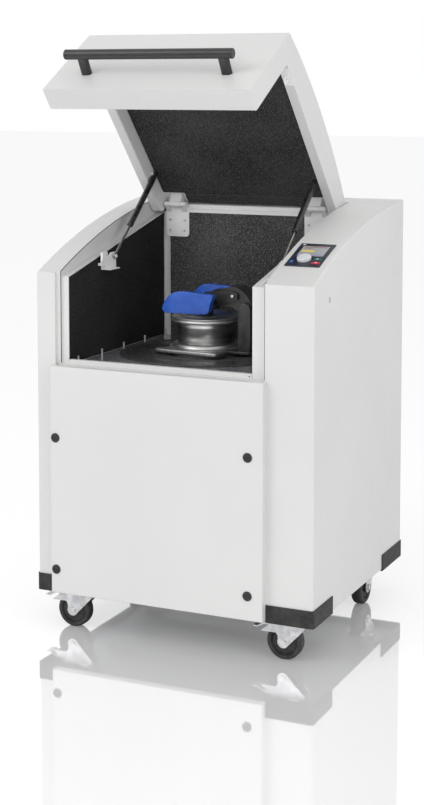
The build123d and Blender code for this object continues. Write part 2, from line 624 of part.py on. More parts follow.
liner_rear = 232.0
hinge_clear = HINGE_Z + 29.0
lid = lid_solid(LID_LEFT, LID_RIGHT, 0) - lid_solid(LID_LEFT + SHEET, LID_RIGHT - SHEET, SHEET)
well = [(LEG_Y - SHEET, flange_z(LEG_Y)), (LEG_Y - SHEET, flange_z(LEG_Y - SHEET) + LINER_DEPTH + SHEET),
        (186, flange_z(186) + LINER_DEPTH + SHEET), (LID_REAR + 4, hinge_clear),
        (LID_REAR + 4, flange_z(LEG_Y))]
lid -= prism_x(well, cavity_left(SHEET), cavity_right(SHEET))
parts["lid_shell"] = opened(lid)

liner_outer = [(LEG_Y - SHEET, flange_z(LEG_Y)), (LEG_Y - SHEET, flange_z(LEG_Y - SHEET) + LINER_DEPTH + SHEET),
               (liner_rear, flange_z(liner_rear) + LINER_DEPTH + SHEET), (liner_rear, flange_z(liner_rear) + REAR_TRIM),
               (LID_REAR - REAR_TRIM, flange_z(LID_REAR - REAR_TRIM) + SHEET), (LEG_Y, flange_z(LEG_Y) + SHEET),
               (LEG_Y, flange_z(LEG_Y))]
liner_inner = [(LEG_Y, flange_z(LEG_Y) - 20), (LEG_Y, flange_z(LEG_Y) + LINER_DEPTH),
               (liner_rear + 1, flange_z(liner_rear + 1) + LINER_DEPTH), (liner_rear + 1, flange_z(LEG_Y) - 20)]
liner = prism_x(liner_outer, cavity_left(SHEET), cavity_right(SHEET))
liner -= prism_x(liner_inner, cavity_left(0), cavity_right(0))

foam_low = LINER_DEPTH - LID_FOAM
lid_foam = prism_x([(LEG_Y, flange_z(LEG_Y) + foam_low), (LEG_Y, flange_z(LEG_Y) + LINER_DEPTH),
                    (LID_FOAM_REAR, flange_z(LID_FOAM_REAR) + LINER_DEPTH),
                    (LID_FOAM_REAR, flange_z(LID_FOAM_REAR) + foam_low)], cavity_left(0), cavity_right(0))
parts["foam_lid"] = opened(lid_foam)

# Handle: a bar on two oval posts
bar_y_at = LID_FRONT - HANDLE_OFF
bar_z_at = LID_BOTTOM + HANDLE_UP
handle = bar_x(HANDLE_LEFT, HANDLE_RIGHT, bar_y_at, bar_z_at, HANDLE_RADIUS)
handle = fillet(handle.edges().filter_by(GeomType.CIRCLE), 2.5)
for post_x in POST_X:
    post = extrude(Plane.XZ.offset(-LID_FRONT) * Pos(post_x, bar_z_at) * SlotOverall(30, 20), amount=HANDLE_OFF)
    handle += post
parts["lid_handle"] = opened(handle)


# Hinges: a plate with two ears and a pin on the bulkhead, a leaf on the lid
def hinge_bracket(x):
    """Fixed half: plate against the back foam, ears and pin."""
    half = HINGE_PLATE_WIDTH / 2
    plate_y = BACK_Y - RAIL_DEPTH - HINGE_PLATE
    plate_top = HINGE_Z - 8
    plate = block(x - half, x + half, plate_y, plate_y + HINGE_PLATE, HINGE_Z - 9 - HINGE_PLATE_HEIGHT, plate_top)
    low = [e for e in plate.edges().filter_by(Axis.Y) if e.center().Z < HINGE_Z - 50]
    plate = fillet(low, 10)
    ear_inner = KNUCKLE_WIDTH / 2 + FIT
    ear_outer = half - 4
    for side in (-1, 1):
        xs = sorted((x + side * ear_inner, x + side * ear_outer))
        ear = bar_x(xs[0], xs[1], HINGE_Y, HINGE_Z, KNUCKLE_RADIUS - 2)
        ear += block(xs[0], xs[1], HINGE_Y, plate_y + 1, HINGE_Z - 8, HINGE_Z + 4)
        ear += prism_x([(plate_y, HINGE_Z - 8), (plate_y, HINGE_Z - 26), (HINGE_Y, HINGE_Z - 8)], xs[0], xs[1])
        plate += ear
    plate += bar_x(x - half + 2, x + half - 2, HINGE_Y, HINGE_Z, PIN_RADIUS)
    return plate


def hinge_leaf(x):
    """Moving half: knuckle and web up to the liner, drawn closed."""
    x0 = x - KNUCKLE_WIDTH / 2
    x1 = x + KNUCKLE_WIDTH / 2
    top_front = (187, flange_z(187) + LINER_DEPTH)
    top_rear = (221, flange_z(221) + LINER_DEPTH)
    leaf = bar_x(x0, x1, HINGE_Y, HINGE_Z, KNUCKLE_RADIUS - 1)
    leaf += prism_x([(HINGE_Y - 8, HINGE_Z), top_front, top_rear, (HINGE_Y + 4, HINGE_Z)], x0, x1)
    leaf -= bar_x(x0 - 1, x1 + 1, HINGE_Y, HINGE_Z, PIN_RADIUS + RUNNING)
    return leaf


fixed_brackets = [hinge_bracket(x) for x in HINGE_X]
liner = opened(liner)
for x in HINGE_X:
    liner += opened(hinge_leaf(x))

# Gas struts: rod on the wall, barrel on the lid
foot_y, foot_z = STRUT_FOOT
head_y, head_z = STRUT_HEAD
strut_length = math.hypot(head_y - foot_y, head_z - foot_z)
strut_angle = math.degrees(math.atan2(head_z - foot_z, head_y - foot_y))


def along_strut(x, shape):
    """Place a piece drawn up Z from the foot pivot onto the open strut."""
    return Pos(x, foot_y, foot_z) * Rot(strut_angle - 90, 0, 0) * shape


def strut_rod(x):
    eye = bar_x(-STRUT_EYE_WIDTH / 2, STRUT_EYE_WIDTH / 2, 0, 0, STRUT_EYE)
    rod = bar_z(0, 0, STRUT_EYE - 2, ROD_LENGTH, STRUT_ROD)
    piece = eye + rod - bar_x(-STRUT_EYE_WIDTH, STRUT_EYE_WIDTH, 0, 0, STRUT_PIN + RUNNING)
    return along_strut(x, piece)


def strut_barrel(x):
    start = ROD_SHOWN + STRUT_EYE
    end = strut_length - STRUT_EYE - 7
    tube = bar_z(0, 0, start, end, STRUT_BARREL)
    tube = chamfer(tube.edges().filter_by(GeomType.CIRCLE), 1.5)
    tube -= bar_z(0, 0, start - 1, ROD_LENGTH + STRUT_STROKE + 2, STRUT_ROD + RUNNING)
    tube += bar_z(0, 0, end - 1, strut_length - STRUT_EYE + 2, STRUT_EYE_WIDTH / 2)
    eye = bar_x(-STRUT_EYE_WIDTH / 2, STRUT_EYE_WIDTH / 2, 0, strut_length, STRUT_EYE)
    eye -= bar_x(-STRUT_EYE_WIDTH, STRUT_EYE_WIDTH, 0, strut_length, STRUT_PIN + FIT)
    tube += eye
    tube -= bar_x(-STRUT_EYE_WIDTH, STRUT_EYE_WIDTH, 0, strut_length, STRUT_PIN + FIT)
    return along_strut(x, tube)


def strut_bracket(wall_x, x):
    """Lug beside the strut's foot, with lip, block and pin, seated on the wall."""
    out = math.copysign(1, wall_x)
    pin_face = x + out * STRUT_EYE_WIDTH / 2 + out * 3 * FIT
    near_wall = abs(wall_x - pin_face) < 8
    lug = sorted((pin_face, wall_x if near_wall else pin_face + out * 3))
    piece = prism_x([(foot_y - 42, foot_z - 34), (foot_y - 42, foot_z - 8), (foot_y - 14, foot_z + 11),
                     (foot_y + 16, foot_z + 11), (foot_y + 16, foot_z - 34)], lug[0], lug[1])
    lip = sorted((pin_face + out * 3, x - out * 8))
    piece += prism_x([(foot_y - 42, foot_z - 37), (foot_y - 42, foot_z - 34), (foot_y + 16, foot_z - 34),
                      (foot_y + 16, foot_z - 37)], lip[0], lip[1])
    piece += bar_x(min(pin_face, x - out * 6), max(pin_face, x - out * 6), foot_y, foot_z, STRUT_PIN)
    piece += bar_x(min(x - out * 4, x - out * 6), max(x - out * 4, x - out * 6), foot_y, foot_z, STRUT_PIN + 2)
    if not near_wall:
        arm = sorted((wall_x, pin_face))
        piece += block(arm[0], arm[1], foot_y - 42, foot_y - 39, foot_z - 37, foot_z - 16)
        piece += block(lug[0], lug[1] + 4, foot_y - 72, foot_y - 42, foot_z - 8, foot_z + 16)
        piece += block(lug[0], lug[1], foot_y - 72, foot_y - 42, foot_z - 16, foot_z - 8)
        piece += block(arm[0], arm[1], foot_y - 60, foot_y - 50, foot_z - 24, foot_z - 16)
        piece += block(lug[0], lug[1], foot_y - 60, foot_y - 42, foot_z - 24, foot_z - 16)
    return piece


def strut_stud(side, x):
    """Stud on the liner's side wall, short of the eye by a running gap, drawn open."""
    out = math.copysign(1, side)
    wall = cavity_left(0) if out < 0 else cavity_right(0)
    end = x + out * (STRUT_EYE_WIDTH / 2 + 2 * FIT)
    ends = sorted((wall, end))
    return bar_x(ends[0], ends[1], head_y, head_z, STRUT_EYE - 3)


foam_faces = (left_wall_x + FOAM_PROUD, RIGHT_WALL_X - FOAM_PROUD)
for side_name, strut_x, foam_x in zip(("left", "right"), STRUT_X, foam_faces):
    parts["strut_rod_" + side_name] = strut_rod(strut_x)
    parts["strut_barrel_" + side_name] = strut_barrel(strut_x)
    fixed_brackets.append(strut_bracket(foam_x, strut_x))
    liner += strut_stud(foam_x, strut_x)
parts["lid_liner"] = liner
parts["hinge_and_strut_brackets"] = Compound(children=fixed_brackets)

# Striker plate with its loop on the lid's right flange
plate_front = STRIKER_Y - 34
plate_rear = STRIKER_Y + 26
striker = prism_x([(plate_front, flange_z(plate_front) - SHEET), (plate_front, flange_z(plate_front)),
                   (plate_rear, flange_z(plate_rear)), (plate_rear, flange_z(plate_rear) - SHEET)],
                  STRIKER_X - 12, STRIKER_X + 12)
LOOP_RADIUS = 2.5
loop_z = flange_z(STRIKER_Y) - 15
for post_y in (STRIKER_Y - 8, STRIKER_Y + 8):
    striker += bar_z(STRIKER_X, post_y, loop_z, flange_z(post_y) - 1, LOOP_RADIUS)
striker += bar_y(STRIKER_X, STRIKER_Y - 8 - LOOP_RADIUS, STRIKER_Y + 8 + LOOP_RADIUS, loop_z, LOOP_RADIUS)
parts["striker_plate"] = opened(striker)

# Drive frame on the deck, with four legs and an open top plate
FRAME_HALF = 200.0
LEG_TUBE = 30.0
FRAME_OPENING = 270.0
FRAME_PLATE = 12.0
deck_top = DECK_Z + DECK_SHEET
drive_frame = block(MILL_X - FRAME_HALF, MILL_X + FRAME_HALF, MILL_Y - FRAME_HALF, MILL_Y + FRAME_HALF,
                    FRAME_TOP - FRAME_PLATE, FRAME_TOP)
drive_frame -= block(MILL_X - FRAME_OPENING / 2, MILL_X + FRAME_OPENING / 2, MILL_Y - FRAME_OPENING / 2,
                     MILL_Y + FRAME_OPENING / 2, FRAME_TOP - 40, FRAME_TOP + 10)
for side_x in (-1, 1):
    for side_y in (-1, 1):
        leg_x = MILL_X + side_x * (FRAME_HALF - LEG_TUBE / 2)
        leg_y = MILL_Y + side_y * (FRAME_HALF - LEG_TUBE / 2)
        leg = block(leg_x - LEG_TUBE / 2, leg_x + LEG_TUBE / 2, leg_y - LEG_TUBE / 2, leg_y + LEG_TUBE / 2,
                    deck_top, FRAME_TOP - FRAME_PLATE)
        leg -= block(leg_x - LEG_TUBE / 2 + 3, leg_x + LEG_TUBE / 2 - 3, leg_y - LEG_TUBE / 2 + 3,
                     leg_y + LEG_TUBE / 2 - 3, deck_top - 1, FRAME_TOP - FRAME_PLATE - 3)
        drive_frame += leg
for side_x in (-1, 1):
    tie_x = MILL_X + side_x * (FRAME_HALF - LEG_TUBE / 2)
    drive_frame += block(tie_x - 12, tie_x + 12, MILL_Y - FRAME_HALF + LEG_TUBE, MILL_Y + FRAME_HALF - LEG_TUBE,
                         deck_top + 60, deck_top + 90)
parts["drive_frame"] = drive_frame

# Rubber mounts between the frame and the drive plate
mount_top = FRAME_TOP + MOUNT_HEIGHT
mount_outline = [(0, FRAME_TOP), (MOUNT_RADIUS, FRAME_TOP), (MOUNT_RADIUS, FRAME_TOP + 4),
                 (MOUNT_RADIUS - 3, FRAME_TOP + 6), (MOUNT_RADIUS - 9, FRAME_TOP + MOUNT_HEIGHT / 2),
                 (MOUNT_RADIUS - 3, mount_top - 6), (MOUNT_RADIUS, mount_top - 4), (MOUNT_RADIUS, mount_top),
                 (0, mount_top)]
mount_places = [(MILL_X + side_x * MOUNT_SPREAD, MILL_Y + side_y * MOUNT_SPREAD)
                for side_x in (-1, 1) for side_y in (-1, 1)]
parts["vibration_mounts"] = Compound(children=[turned(mount_outline, x, y) for x, y in mount_places])

# Drive plate with the column that rises through the chamber floor
plate_top = mount_top + DRIVE_PLATE
drive_plate = extrude(Plane.XY.offset(mount_top) * Pos(MILL_X, MILL_Y)
                      * RectangleRounded(2 * FRAME_HALF, 2 * FRAME_HALF, 40), amount=DRIVE_PLATE)
carrier_low = CARRIER_TOP - CARRIER_THICK
drive_plate += bar_z(MILL_X, MILL_Y, plate_top, carrier_low, COLUMN_RADIUS)
drive_plate -= bar_z(MILL_X, MILL_Y, plate_top, carrier_low - 8, COLUMN_RADIUS - 8)
for turn in range(6):
    gusset = Pos(MILL_X, MILL_Y) * Rot(0, 0, 60 * turn + 30) * prism_x(
        [(COLUMN_RADIUS - 1, plate_top), (COLUMN_RADIUS + 60, plate_top), (COLUMN_RADIUS + 60, plate_top + 8),
         (COLUMN_RADIUS - 1, plate_top + 70)], -4, 4)
    drive_plate += gusset
drive_plate -= bar_z(MILL_X, MILL_Y, mount_top - 1, plate_top + 1, SHAFT_RADIUS + RUNNING)
parts["drive_plate"] = drive_plate

# Motor hung under the drive plate, with cooling fins
motor_low = mount_top - MOTOR_LENGTH
motor = bar_z(MILL_X, MILL_Y, motor_low, mount_top, MOTOR_RADIUS - 12)
motor += bar_z(MILL_X, MILL_Y, mount_top - 14, mount_top, MOTOR_RADIUS + 20)
motor += bar_z(MILL_X, MILL_Y, motor_low, motor_low + 18, MOTOR_RADIUS - 6)
for turn in range(24):
    fin = Pos(MILL_X, MILL_Y) * Rot(0, 0, 15 * turn) * block(
        MOTOR_RADIUS - 14, MOTOR_RADIUS, -2, 2, motor_low + 24, mount_top - 14)
    motor += fin
motor -= bar_z(MILL_X, MILL_Y, motor_low - 1, mount_top + 1, SHAFT_RADIUS + RUNNING)
motor += block(MILL_X + MOTOR_RADIUS - 14, MILL_X + MOTOR_RADIUS + 26, MILL_Y - 30, MILL_Y + 30,
               motor_low + 60, motor_low + 120)
parts["motor"] = motor

# Rotor: shaft with an eccentric weight at each end
WEIGHT_RADIUS = 78.0
WEIGHT_THICK = 34.0


def weight(low):
    half = bar_z(MILL_X, MILL_Y, low, low + WEIGHT_THICK, WEIGHT_RADIUS)
    half -= block(MILL_X - WEIGHT_RADIUS - 1, MILL_X - 6, MILL_Y - WEIGHT_RADIUS - 1, MILL_Y + WEIGHT_RADIUS + 1,
                  low - 1, low + WEIGHT_THICK + 1)
    half += bar_z(MILL_X, MILL_Y, low, low + WEIGHT_THICK, SHAFT_RADIUS + 12)
    return half


shaft_low = motor_low - WEIGHT_THICK - 16
rotor = bar_z(MILL_X, MILL_Y, shaft_low, plate_top + 12 + WEIGHT_THICK, SHAFT_RADIUS)
rotor += weight(motor_low - WEIGHT_THICK - 8)
rotor += weight(plate_top + 8)
parts["motor_rotor"] = rotor

# Carrier plate with its pointed corners, locating ring and clamp lugs
CARRIER_OUTLINE = ((-180.0, -118.0), (38.0, -141.0), (66.0, -104.0), (136.0, -52.0), (136.0, 44.0),
                   (74.0, 116.0), (-140.0, 124.0), (-166.0, 84.0), (-128.0, -30.0))
carrier = extrude(Plane.XY.offset(carrier_low) * Polygon(*CARRIER_OUTLINE, align=None), amount=CARRIER_THICK,
                  dir=(0, 0, 1))
carrier = chamfer(carrier.faces().sort_by(Axis.Z)[-1].edges(), 4)
LUG_X = (64.0, 104.0)
LUG_GAP = 44.0
LUG_THICK = 10.0
for side in (-1, 1):
    near = MILL_Y + side * LUG_GAP
    far = MILL_Y + side * (LUG_GAP + LUG_THICK)
    ys = sorted((near, far))
    lug = block(LUG_X[0], LUG_X[1], ys[0], ys[1], CARRIER_TOP - 1, CLAMP_Z)
    lug += bar_y(CLAMP_X, ys[0], ys[1], CLAMP_Z, (LUG_X[1] - LUG_X[0]) / 2)
    carrier += lug
PIVOT_RADIUS = 7.0
carrier += bar_y(CLAMP_X, MILL_Y - LUG_GAP - 1, MILL_Y + LUG_GAP + 1, CLAMP_Z, PIVOT_RADIUS)
for screw_x, screw_y in ((100.0, 70.0), (118.0, 20.0), (-150.0, 96.0)):
    carrier += bar_z(screw_x, screw_y, CARRIER_TOP - 1, CARRIER_TOP + 4, 5)
parts["carrier_plate"] = carrier

# Grinding jar, its lid, and the ring and puck inside
jar_floor = CARRIER_TOP + JAR_WALL
jar_outline = [(0, CARRIER_TOP), (JAR_RADIUS - 6, CARRIER_TOP), (JAR_RADIUS - 3, CARRIER_TOP + 3),
               (JAR_RADIUS - 3, CARRIER_TOP + 20), (JAR_RADIUS, CARRIER_TOP + 23), (JAR_RADIUS, JAR_TOP - 8),
               (JAR_RADIUS + 6, JAR_TOP - 6), (JAR_RADIUS + 6, JAR_TOP), (JAR_RADIUS - JAR_WALL, JAR_TOP),
               (JAR_RADIUS - JAR_WALL, jar_floor), (0, jar_floor)]
parts["grinding_jar"] = turned(jar_outline, MILL_X, MILL_Y)

lid_top = JAR_TOP + JAR_LID_HEIGHT
rim = JAR_LID_RADIUS
jar_lid_outline = [(0, JAR_TOP - 4), (JAR_RADIUS - JAR_WALL - FIT, JAR_TOP - 4), (JAR_RADIUS - JAR_WALL - FIT, JAR_TOP),
                   (rim - 3, JAR_TOP), (rim, JAR_TOP + 2), (rim, JAR_TOP + 6.5), (rim - 3, JAR_TOP + 7.5),
                   (rim - 3, JAR_TOP + 9.5), (rim, JAR_TOP + 10.5), (rim - 1, JAR_TOP + 13.5),
                   (rim - 5, JAR_TOP + 15), (rim - 22, lid_top - 4), (rim - 34, lid_top - 4),
                   (rim - 40, lid_top - 1.5), (30, lid_top), (0, lid_top)]
parts["jar_lid"] = turned(jar_lid_outline, MILL_X, MILL_Y)

SET_HEIGHT = 42.0
ring = bar_z(MILL_X, MILL_Y, jar_floor, jar_floor + SET_HEIGHT, RING_OUTER)
ring -= bar_z(MILL_X, MILL_Y, jar_floor - 1, jar_floor + SET_HEIGHT + 1, RING_INNER)
ring = chamfer(ring.edges().filter_by(GeomType.CIRCLE), 1.5)
parts["grinding_ring"] = ring
puck = bar_z(MILL_X, MILL_Y, jar_floor, jar_floor + SET_HEIGHT, PUCK_RADIUS)
puck = chamfer(puck.edges().filter_by(GeomType.CIRCLE), 1.5)
parts["grinding_puck"] = puck


# Clamp: an arm over the jar, and a lever with two grips
def across_y(points, y0, y1):
    """A closed outline of (x, z) points, extruded along Y."""
    return extrude(Plane.XZ.offset(-y1) * Polygon(*points, align=None), amount=y1 - y0, dir=(0, -1, 0))


ARM_HALF = 34.0
arm_outline = [(-80, lid_top + 14), (-80, lid_top + 24), (-44, 912), (4, 946), (30, 956), (52, 955), (76, 940),
               (96, 916), (103, 895), (92, 876), (70, 874), (40, 896), (-10, 898), (-30, lid_top + 14)]
arm = across_y(arm_outline, MILL_Y - ARM_HALF, MILL_Y + ARM_HALF)
arm -= across_y([(-10, 905), (20, 938), (40, 942), (62, 930), (72, 908), (40, 912)],
                MILL_Y - ARM_HALF + 9, MILL_Y + ARM_HALF - 9)
arm += bar_y(CLAMP_X, MILL_Y - LUG_GAP + 1, MILL_Y + LUG_GAP - 1, CLAMP_Z, 16)
arm -= bar_y(CLAMP_X, MILL_Y - LUG_GAP - 1, MILL_Y + LUG_GAP + 1, CLAMP_Z, PIVOT_RADIUS + RUNNING)
arm += bar_z(MILL_X, MILL_Y, lid_top + FIT, lid_top + 15, 20)
LEVER_X = 44.0
LEVER_Z = 930.0
LEVER_PIN = 5.0
arm += bar_y(LEVER_X, MILL_Y - ARM_HALF - 12, MILL_Y + ARM_HALF + 12, LEVER_Z, LEVER_PIN)
parts["clamp_arm"] = arm

lever_near = ARM_HALF + 2
lever_far = ARM_HALF + 9
GRIP_REACH = 96.0
GRIP_HALF = 13.0
lever = None
grips = []
grip_outline = [(-4, 882), (-140, 880), (-149, 888), (-143, 908), (-130, 928), (-112, 940), (-90, 944), (16, 938),
                (2, 912)]
for side in (-1, 1):
    ys = sorted((MILL_Y + side * lever_near, MILL_Y + side * lever_far))
    plate = across_y([(LEVER_X + 14, LEVER_Z - 10), (LEVER_X + 14, LEVER_Z + 8), (LEVER_X - 6, LEVER_Z + 14),
                      (-40, 938), (-60, 930), (-60, 905), (-40, 900), (10, 908)], ys[0], ys[1])
    plate -= bar_y(LEVER_X, ys[0] - 1, ys[1] + 1, LEVER_Z, LEVER_PIN + RUNNING)
    lug_ys = sorted((MILL_Y + side * lever_far, MILL_Y + side * (GRIP_REACH - GRIP_HALF)))
    plate += across_y([(-52, 906), (-52, 930), (-20, 930), (-20, 906)], lug_ys[0] - 0.5, lug_ys[1] + 0.5)
    lever = plate if lever is None else lever + plate
    grip_ys = sorted((MILL_Y + side * (GRIP_REACH - GRIP_HALF), MILL_Y + side * (GRIP_REACH + GRIP_HALF)))
    grip = across_y(grip_outline, grip_ys[0], grip_ys[1])
    grip = fillet(grip.edges().filter_by(Axis.Y), 4)
    lever -= grip
    grips.append(grip)
parts["clamp_levers"] = lever
parts["clamp_grips"] = Compound(children=grips)

# Casters
PLATE_THICK = 4.0
CASTER_PLATE = 80.0
head_top = DECK_Z - PLATE_THICK - FIT
FORK_GAP = 18.5
FORK_SHEET = 3.0
FORK_TOP = 105.0
wheel_x = -CASTER_TRAIL
KINGPIN = 6.0


def caster_plate():
    plate = extrude(Plane.XY.offset(DECK_Z - PLATE_THICK) * RectangleRounded(CASTER_PLATE, CASTER_PLATE, 8),
                    amount=PLATE_THICK)
    return plate - bar_z(0, 0, DECK_Z - PLATE_THICK - 1, DECK_Z + 1, KINGPIN + RUNNING)


def caster_fork():
    fork = block(-CASTER_TRAIL - 28, 29, -FORK_GAP - FORK_SHEET, FORK_GAP + FORK_SHEET,
                 FORK_TOP - FORK_SHEET, FORK_TOP)
    fork += bar_z(0, 0, FORK_TOP - 1, head_top, 27)
    fork += bar_z(0, 0, head_top - 1, DECK_Z - 0.5, KINGPIN)
    cheek_outline = [(wheel_x - 64, 74), (wheel_x - 20, 74), (wheel_x - 15, 66), (wheel_x - 15, 50), (wheel_x, 40),
                     (wheel_x + 14, 42), (wheel_x + 62, 92), (wheel_x + 62, FORK_TOP), (wheel_x - 28, FORK_TOP)]
    for side in (-1, 1):
        ys = sorted((side * FORK_GAP, side * (FORK_GAP + FORK_SHEET)))
        cheek = across_y(cheek_outline, ys[0], ys[1])
        cheek += bar_y(wheel_x, ys[0], ys[1], WHEEL_RADIUS, 16)
        fork += cheek
        nut = sorted((side * (FORK_GAP + FORK_SHEET), side * (FORK_GAP + FORK_SHEET + 5)))
        fork += bar_y(wheel_x, nut[0], nut[1], WHEEL_RADIUS, 8)
    fork += bar_y(wheel_x, -FORK_GAP - 1, FORK_GAP + 1, WHEEL_RADIUS, AXLE_RADIUS)
    return fork


def caster_wheel():
    half = WHEEL_WIDTH / 2
    hub = FORK_GAP - FIT
    outline = [(AXLE_RADIUS + RUNNING, -hub), (14, -hub), (14, -half + 4), (34, -half + 6), (38, -half),
               (WHEEL_RADIUS - 5, -half), (WHEEL_RADIUS - 1, -half + 4), (WHEEL_RADIUS, -half + 9),
               (WHEEL_RADIUS, half - 9), (WHEEL_RADIUS - 1, half - 4), (WHEEL_RADIUS - 5, half), (38, half),
               (34, half - 6), (14, half - 4), (14, hub), (AXLE_RADIUS + RUNNING, hub)]
    wheel = revolve(Plane.XZ * Polygon(*outline, align=None), axis=Axis.Z)
    return Pos(wheel_x, 0, WHEEL_RADIUS) * Rot(90, 0, 0) * wheel


PEDAL_X = wheel_x - 32
PEDAL_Z = 96.0


def brake_pedal():
    half = FORK_GAP - 1
    pedal = across_y([(PEDAL_X, PEDAL_Z + 5), (PEDAL_X - 24, PEDAL_Z), (PEDAL_X - 44, PEDAL_Z - 11),
                      (PEDAL_X - 56, PEDAL_Z - 11), (PEDAL_X - 56, PEDAL_Z - 14), (PEDAL_X - 43, PEDAL_Z - 14),
                      (PEDAL_X - 24, PEDAL_Z - 4), (PEDAL_X, PEDAL_Z - 3)], -half, half)
    pedal += bar_y(PEDAL_X, -half, half, PEDAL_Z, 4.5)
    return pedal - bar_y(PEDAL_X, -half - 1, half + 1, PEDAL_Z, 2.5 + RUNNING)


plates = []
for name, x, y, turn in CASTERS:
    place = Pos(x, y, 0) * Rot(0, 0, turn)
    plates.append(place * caster_plate())
    fork = caster_fork()
    if name.startswith("front"):
        fork += bar_y(PEDAL_X, -FORK_GAP - 1, FORK_GAP + 1, PEDAL_Z, 2.5)
        parts["brake_pedal_" + name] = place * brake_pedal()
    parts["caster_fork_" + name] = place * fork
    parts["caster_wheel_" + name] = place * caster_wheel()
parts["base_frame"] = Compound(children=[chassis] + plates)

# Own frame: the middle of the whole part's box, on the floor
corners = [shape.bounding_box() for shape in parts.values()]
middle_x = (min(box.min.X for box in corners) + max(box.max.X for box in corners)) / 2
middle_y = (min(box.min.Y for box in corners) + max(box.max.Y for box in corners)) / 2
low_z = min(box.min.Z for box in corners)
print("own frame moved by %.3f %.3f %.3f" % (-middle_x, -middle_y, -low_z))

os.makedirs("parts", exist_ok=True)
for name, shape in parts.items():
    export_step(Pos(-middle_x, -middle_y, -low_z) * shape, "parts/%s.step" % name)
print(len(parts), "nodes")
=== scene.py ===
import math

import bmesh
import bpy
from mathutils import Matrix, Vector, noise


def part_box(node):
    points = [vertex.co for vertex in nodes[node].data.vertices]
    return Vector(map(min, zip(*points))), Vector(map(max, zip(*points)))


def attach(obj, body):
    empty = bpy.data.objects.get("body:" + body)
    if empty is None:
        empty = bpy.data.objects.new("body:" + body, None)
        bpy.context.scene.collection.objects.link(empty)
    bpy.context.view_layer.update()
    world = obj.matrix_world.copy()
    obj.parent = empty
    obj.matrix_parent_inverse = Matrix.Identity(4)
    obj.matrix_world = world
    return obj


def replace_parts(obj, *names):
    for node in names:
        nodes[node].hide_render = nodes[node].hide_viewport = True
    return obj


# Looks of a vibratory disc mill
# Places are in millimetres about the cabinet's middle, and at() turns them into the frame's metres

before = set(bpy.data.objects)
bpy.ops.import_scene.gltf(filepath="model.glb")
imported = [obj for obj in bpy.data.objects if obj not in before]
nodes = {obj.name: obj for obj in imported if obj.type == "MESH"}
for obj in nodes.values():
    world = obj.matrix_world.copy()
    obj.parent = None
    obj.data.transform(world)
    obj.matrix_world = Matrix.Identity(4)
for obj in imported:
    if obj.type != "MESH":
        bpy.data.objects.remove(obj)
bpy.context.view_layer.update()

# Frame
CABINET_BACK = 370.0
BACK_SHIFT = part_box("rear_panel")[1].y * 1000 - CABINET_BACK

# Lid
HINGE_Y = 215.0
HINGE_Z = 1166.0
OPEN_ANGLE = math.radians(-60)

# Mill's axis, and the heights and radii of carrier and jar
MILL_X = -58.0
MILL_Y = -10.0
PLATE_TOP = 775.0
PAD_TOP = 786.0
PAD_RADIUS = 108.0
JAR_FOOT = 84.0
JAR_SIDE = 86.4
JAR_BAND = 87.0
JAR_RIM = 90.0
BAND_LOW = 832.0
JAR_TOP = 849.0

# Clamp's foot on the carrier, and its grips, whose width is in metres
FOOT_LOW = 766.0
PIVOT_X = 84.0
PIVOT_Z = 892.0
LUG_RADIUS = 20.0
LUG_LOW = 772.0
LUG_NECK = 800.0
LUG_PLACES = (-64, 34)
GRIP_PLACES = (-118.6, 73.4)
GRIP_WIDTH = 0.0252

# Chamber walls: a sloping top that starts at the front
WALL_SLOPE = math.radians(12.9)
WALL_FRONT = -357.0
WALL_FRONT_TOP = 1002.0

# Foams: depths, rounding, swell and step in metres, places in millimetres
FOAM_DEPTH = 0.0128
LID_FOAM_DEPTH = 0.0115
FOAM_ROUNDING = 0.005
FOAM_SWELL = 0.0012
FOAM_STEP = 0.02
FOAM_LOW = 755.2
SIDE_FOAM_FRONT = -354.0
SIDE_FOAM_REAR = 247.9
SIDE_FOAM_DROP = 3.1
LEFT_FOAM_FACE = -319.0
RIGHT_FOAM_FACE = 234.0
BACK_FOAM_LEFT = -295.8
BACK_FOAM_RIGHT = 233.8
BACK_FOAM_FACE = 235.0
BACK_FOAM_TOP = 1139.8
LID_FLANGE_GAP = 5.1
LID_FOAM_LIFT = 48.0
LID_FOAM_LEFT = -307.8
LID_FOAM_RIGHT = 243.8
LID_FOAM_FRONT = -361.8
LID_FOAM_REAR = 185.0
LID_STRIP_LEFT = -236.0
LID_STRIP_RIGHT = 158.0
LID_STRIP_FRONT = 186.0
LID_STRIP_REAR = 227.0

# Marks on the control panel
PANEL_TILT = math.radians(19.684)
SCREEN_LIFT = 0.8
LIGHT_LIFT = 1.2
KEY_LIFT = 2.7
MARK_THICK = 0.15

# Release port and hinge screws
PORT_X = 403.0
PORT_Y = -257.0
PORT_Z = 965.0
PORT_HALF_WIDTH = 4.2
PORT_HALF_HEIGHT = 8.2
HINGE_PLATE_FACE = 231.0
HINGE_MIDDLES = (("left", -267.0), ("right", 190.5))
HINGE_SCREW_HALF = 24
HINGE_SCREW_ROWS = (1084, 1116)

# Studio
GROUND_REACH = 40
FLOOR_SHADE = (0.86, 0.86, 0.87, 1)
FLOOR_GLOSS = 0.035
FLOOR_MIRROR = 0.54
FLOOR_GLOW = 0.12
SKY_AS_LIGHT = 0.72
SKY_AS_SEEN = 1.0

# Camera
CAMERA_AZIMUTH = math.radians(24.548)
CAMERA_ELEVATION = math.radians(5.034)
CAMERA_DISTANCE = 4694.2
CAMERA_AIM = (-45.1, 0.0, 1126.6)
PHOTO_HEIGHT = 805
PHOTO_FOCUS = 1620.6
PHOTO_CENTRE_ROW = 225.0
SENSOR_WIDTH = 36

CASTERS = ("front_left", "front_right", "rear_left", "rear_right")


def at(x, y, z):
    return Vector((x, y + BACK_SHIFT, z)) / 1000


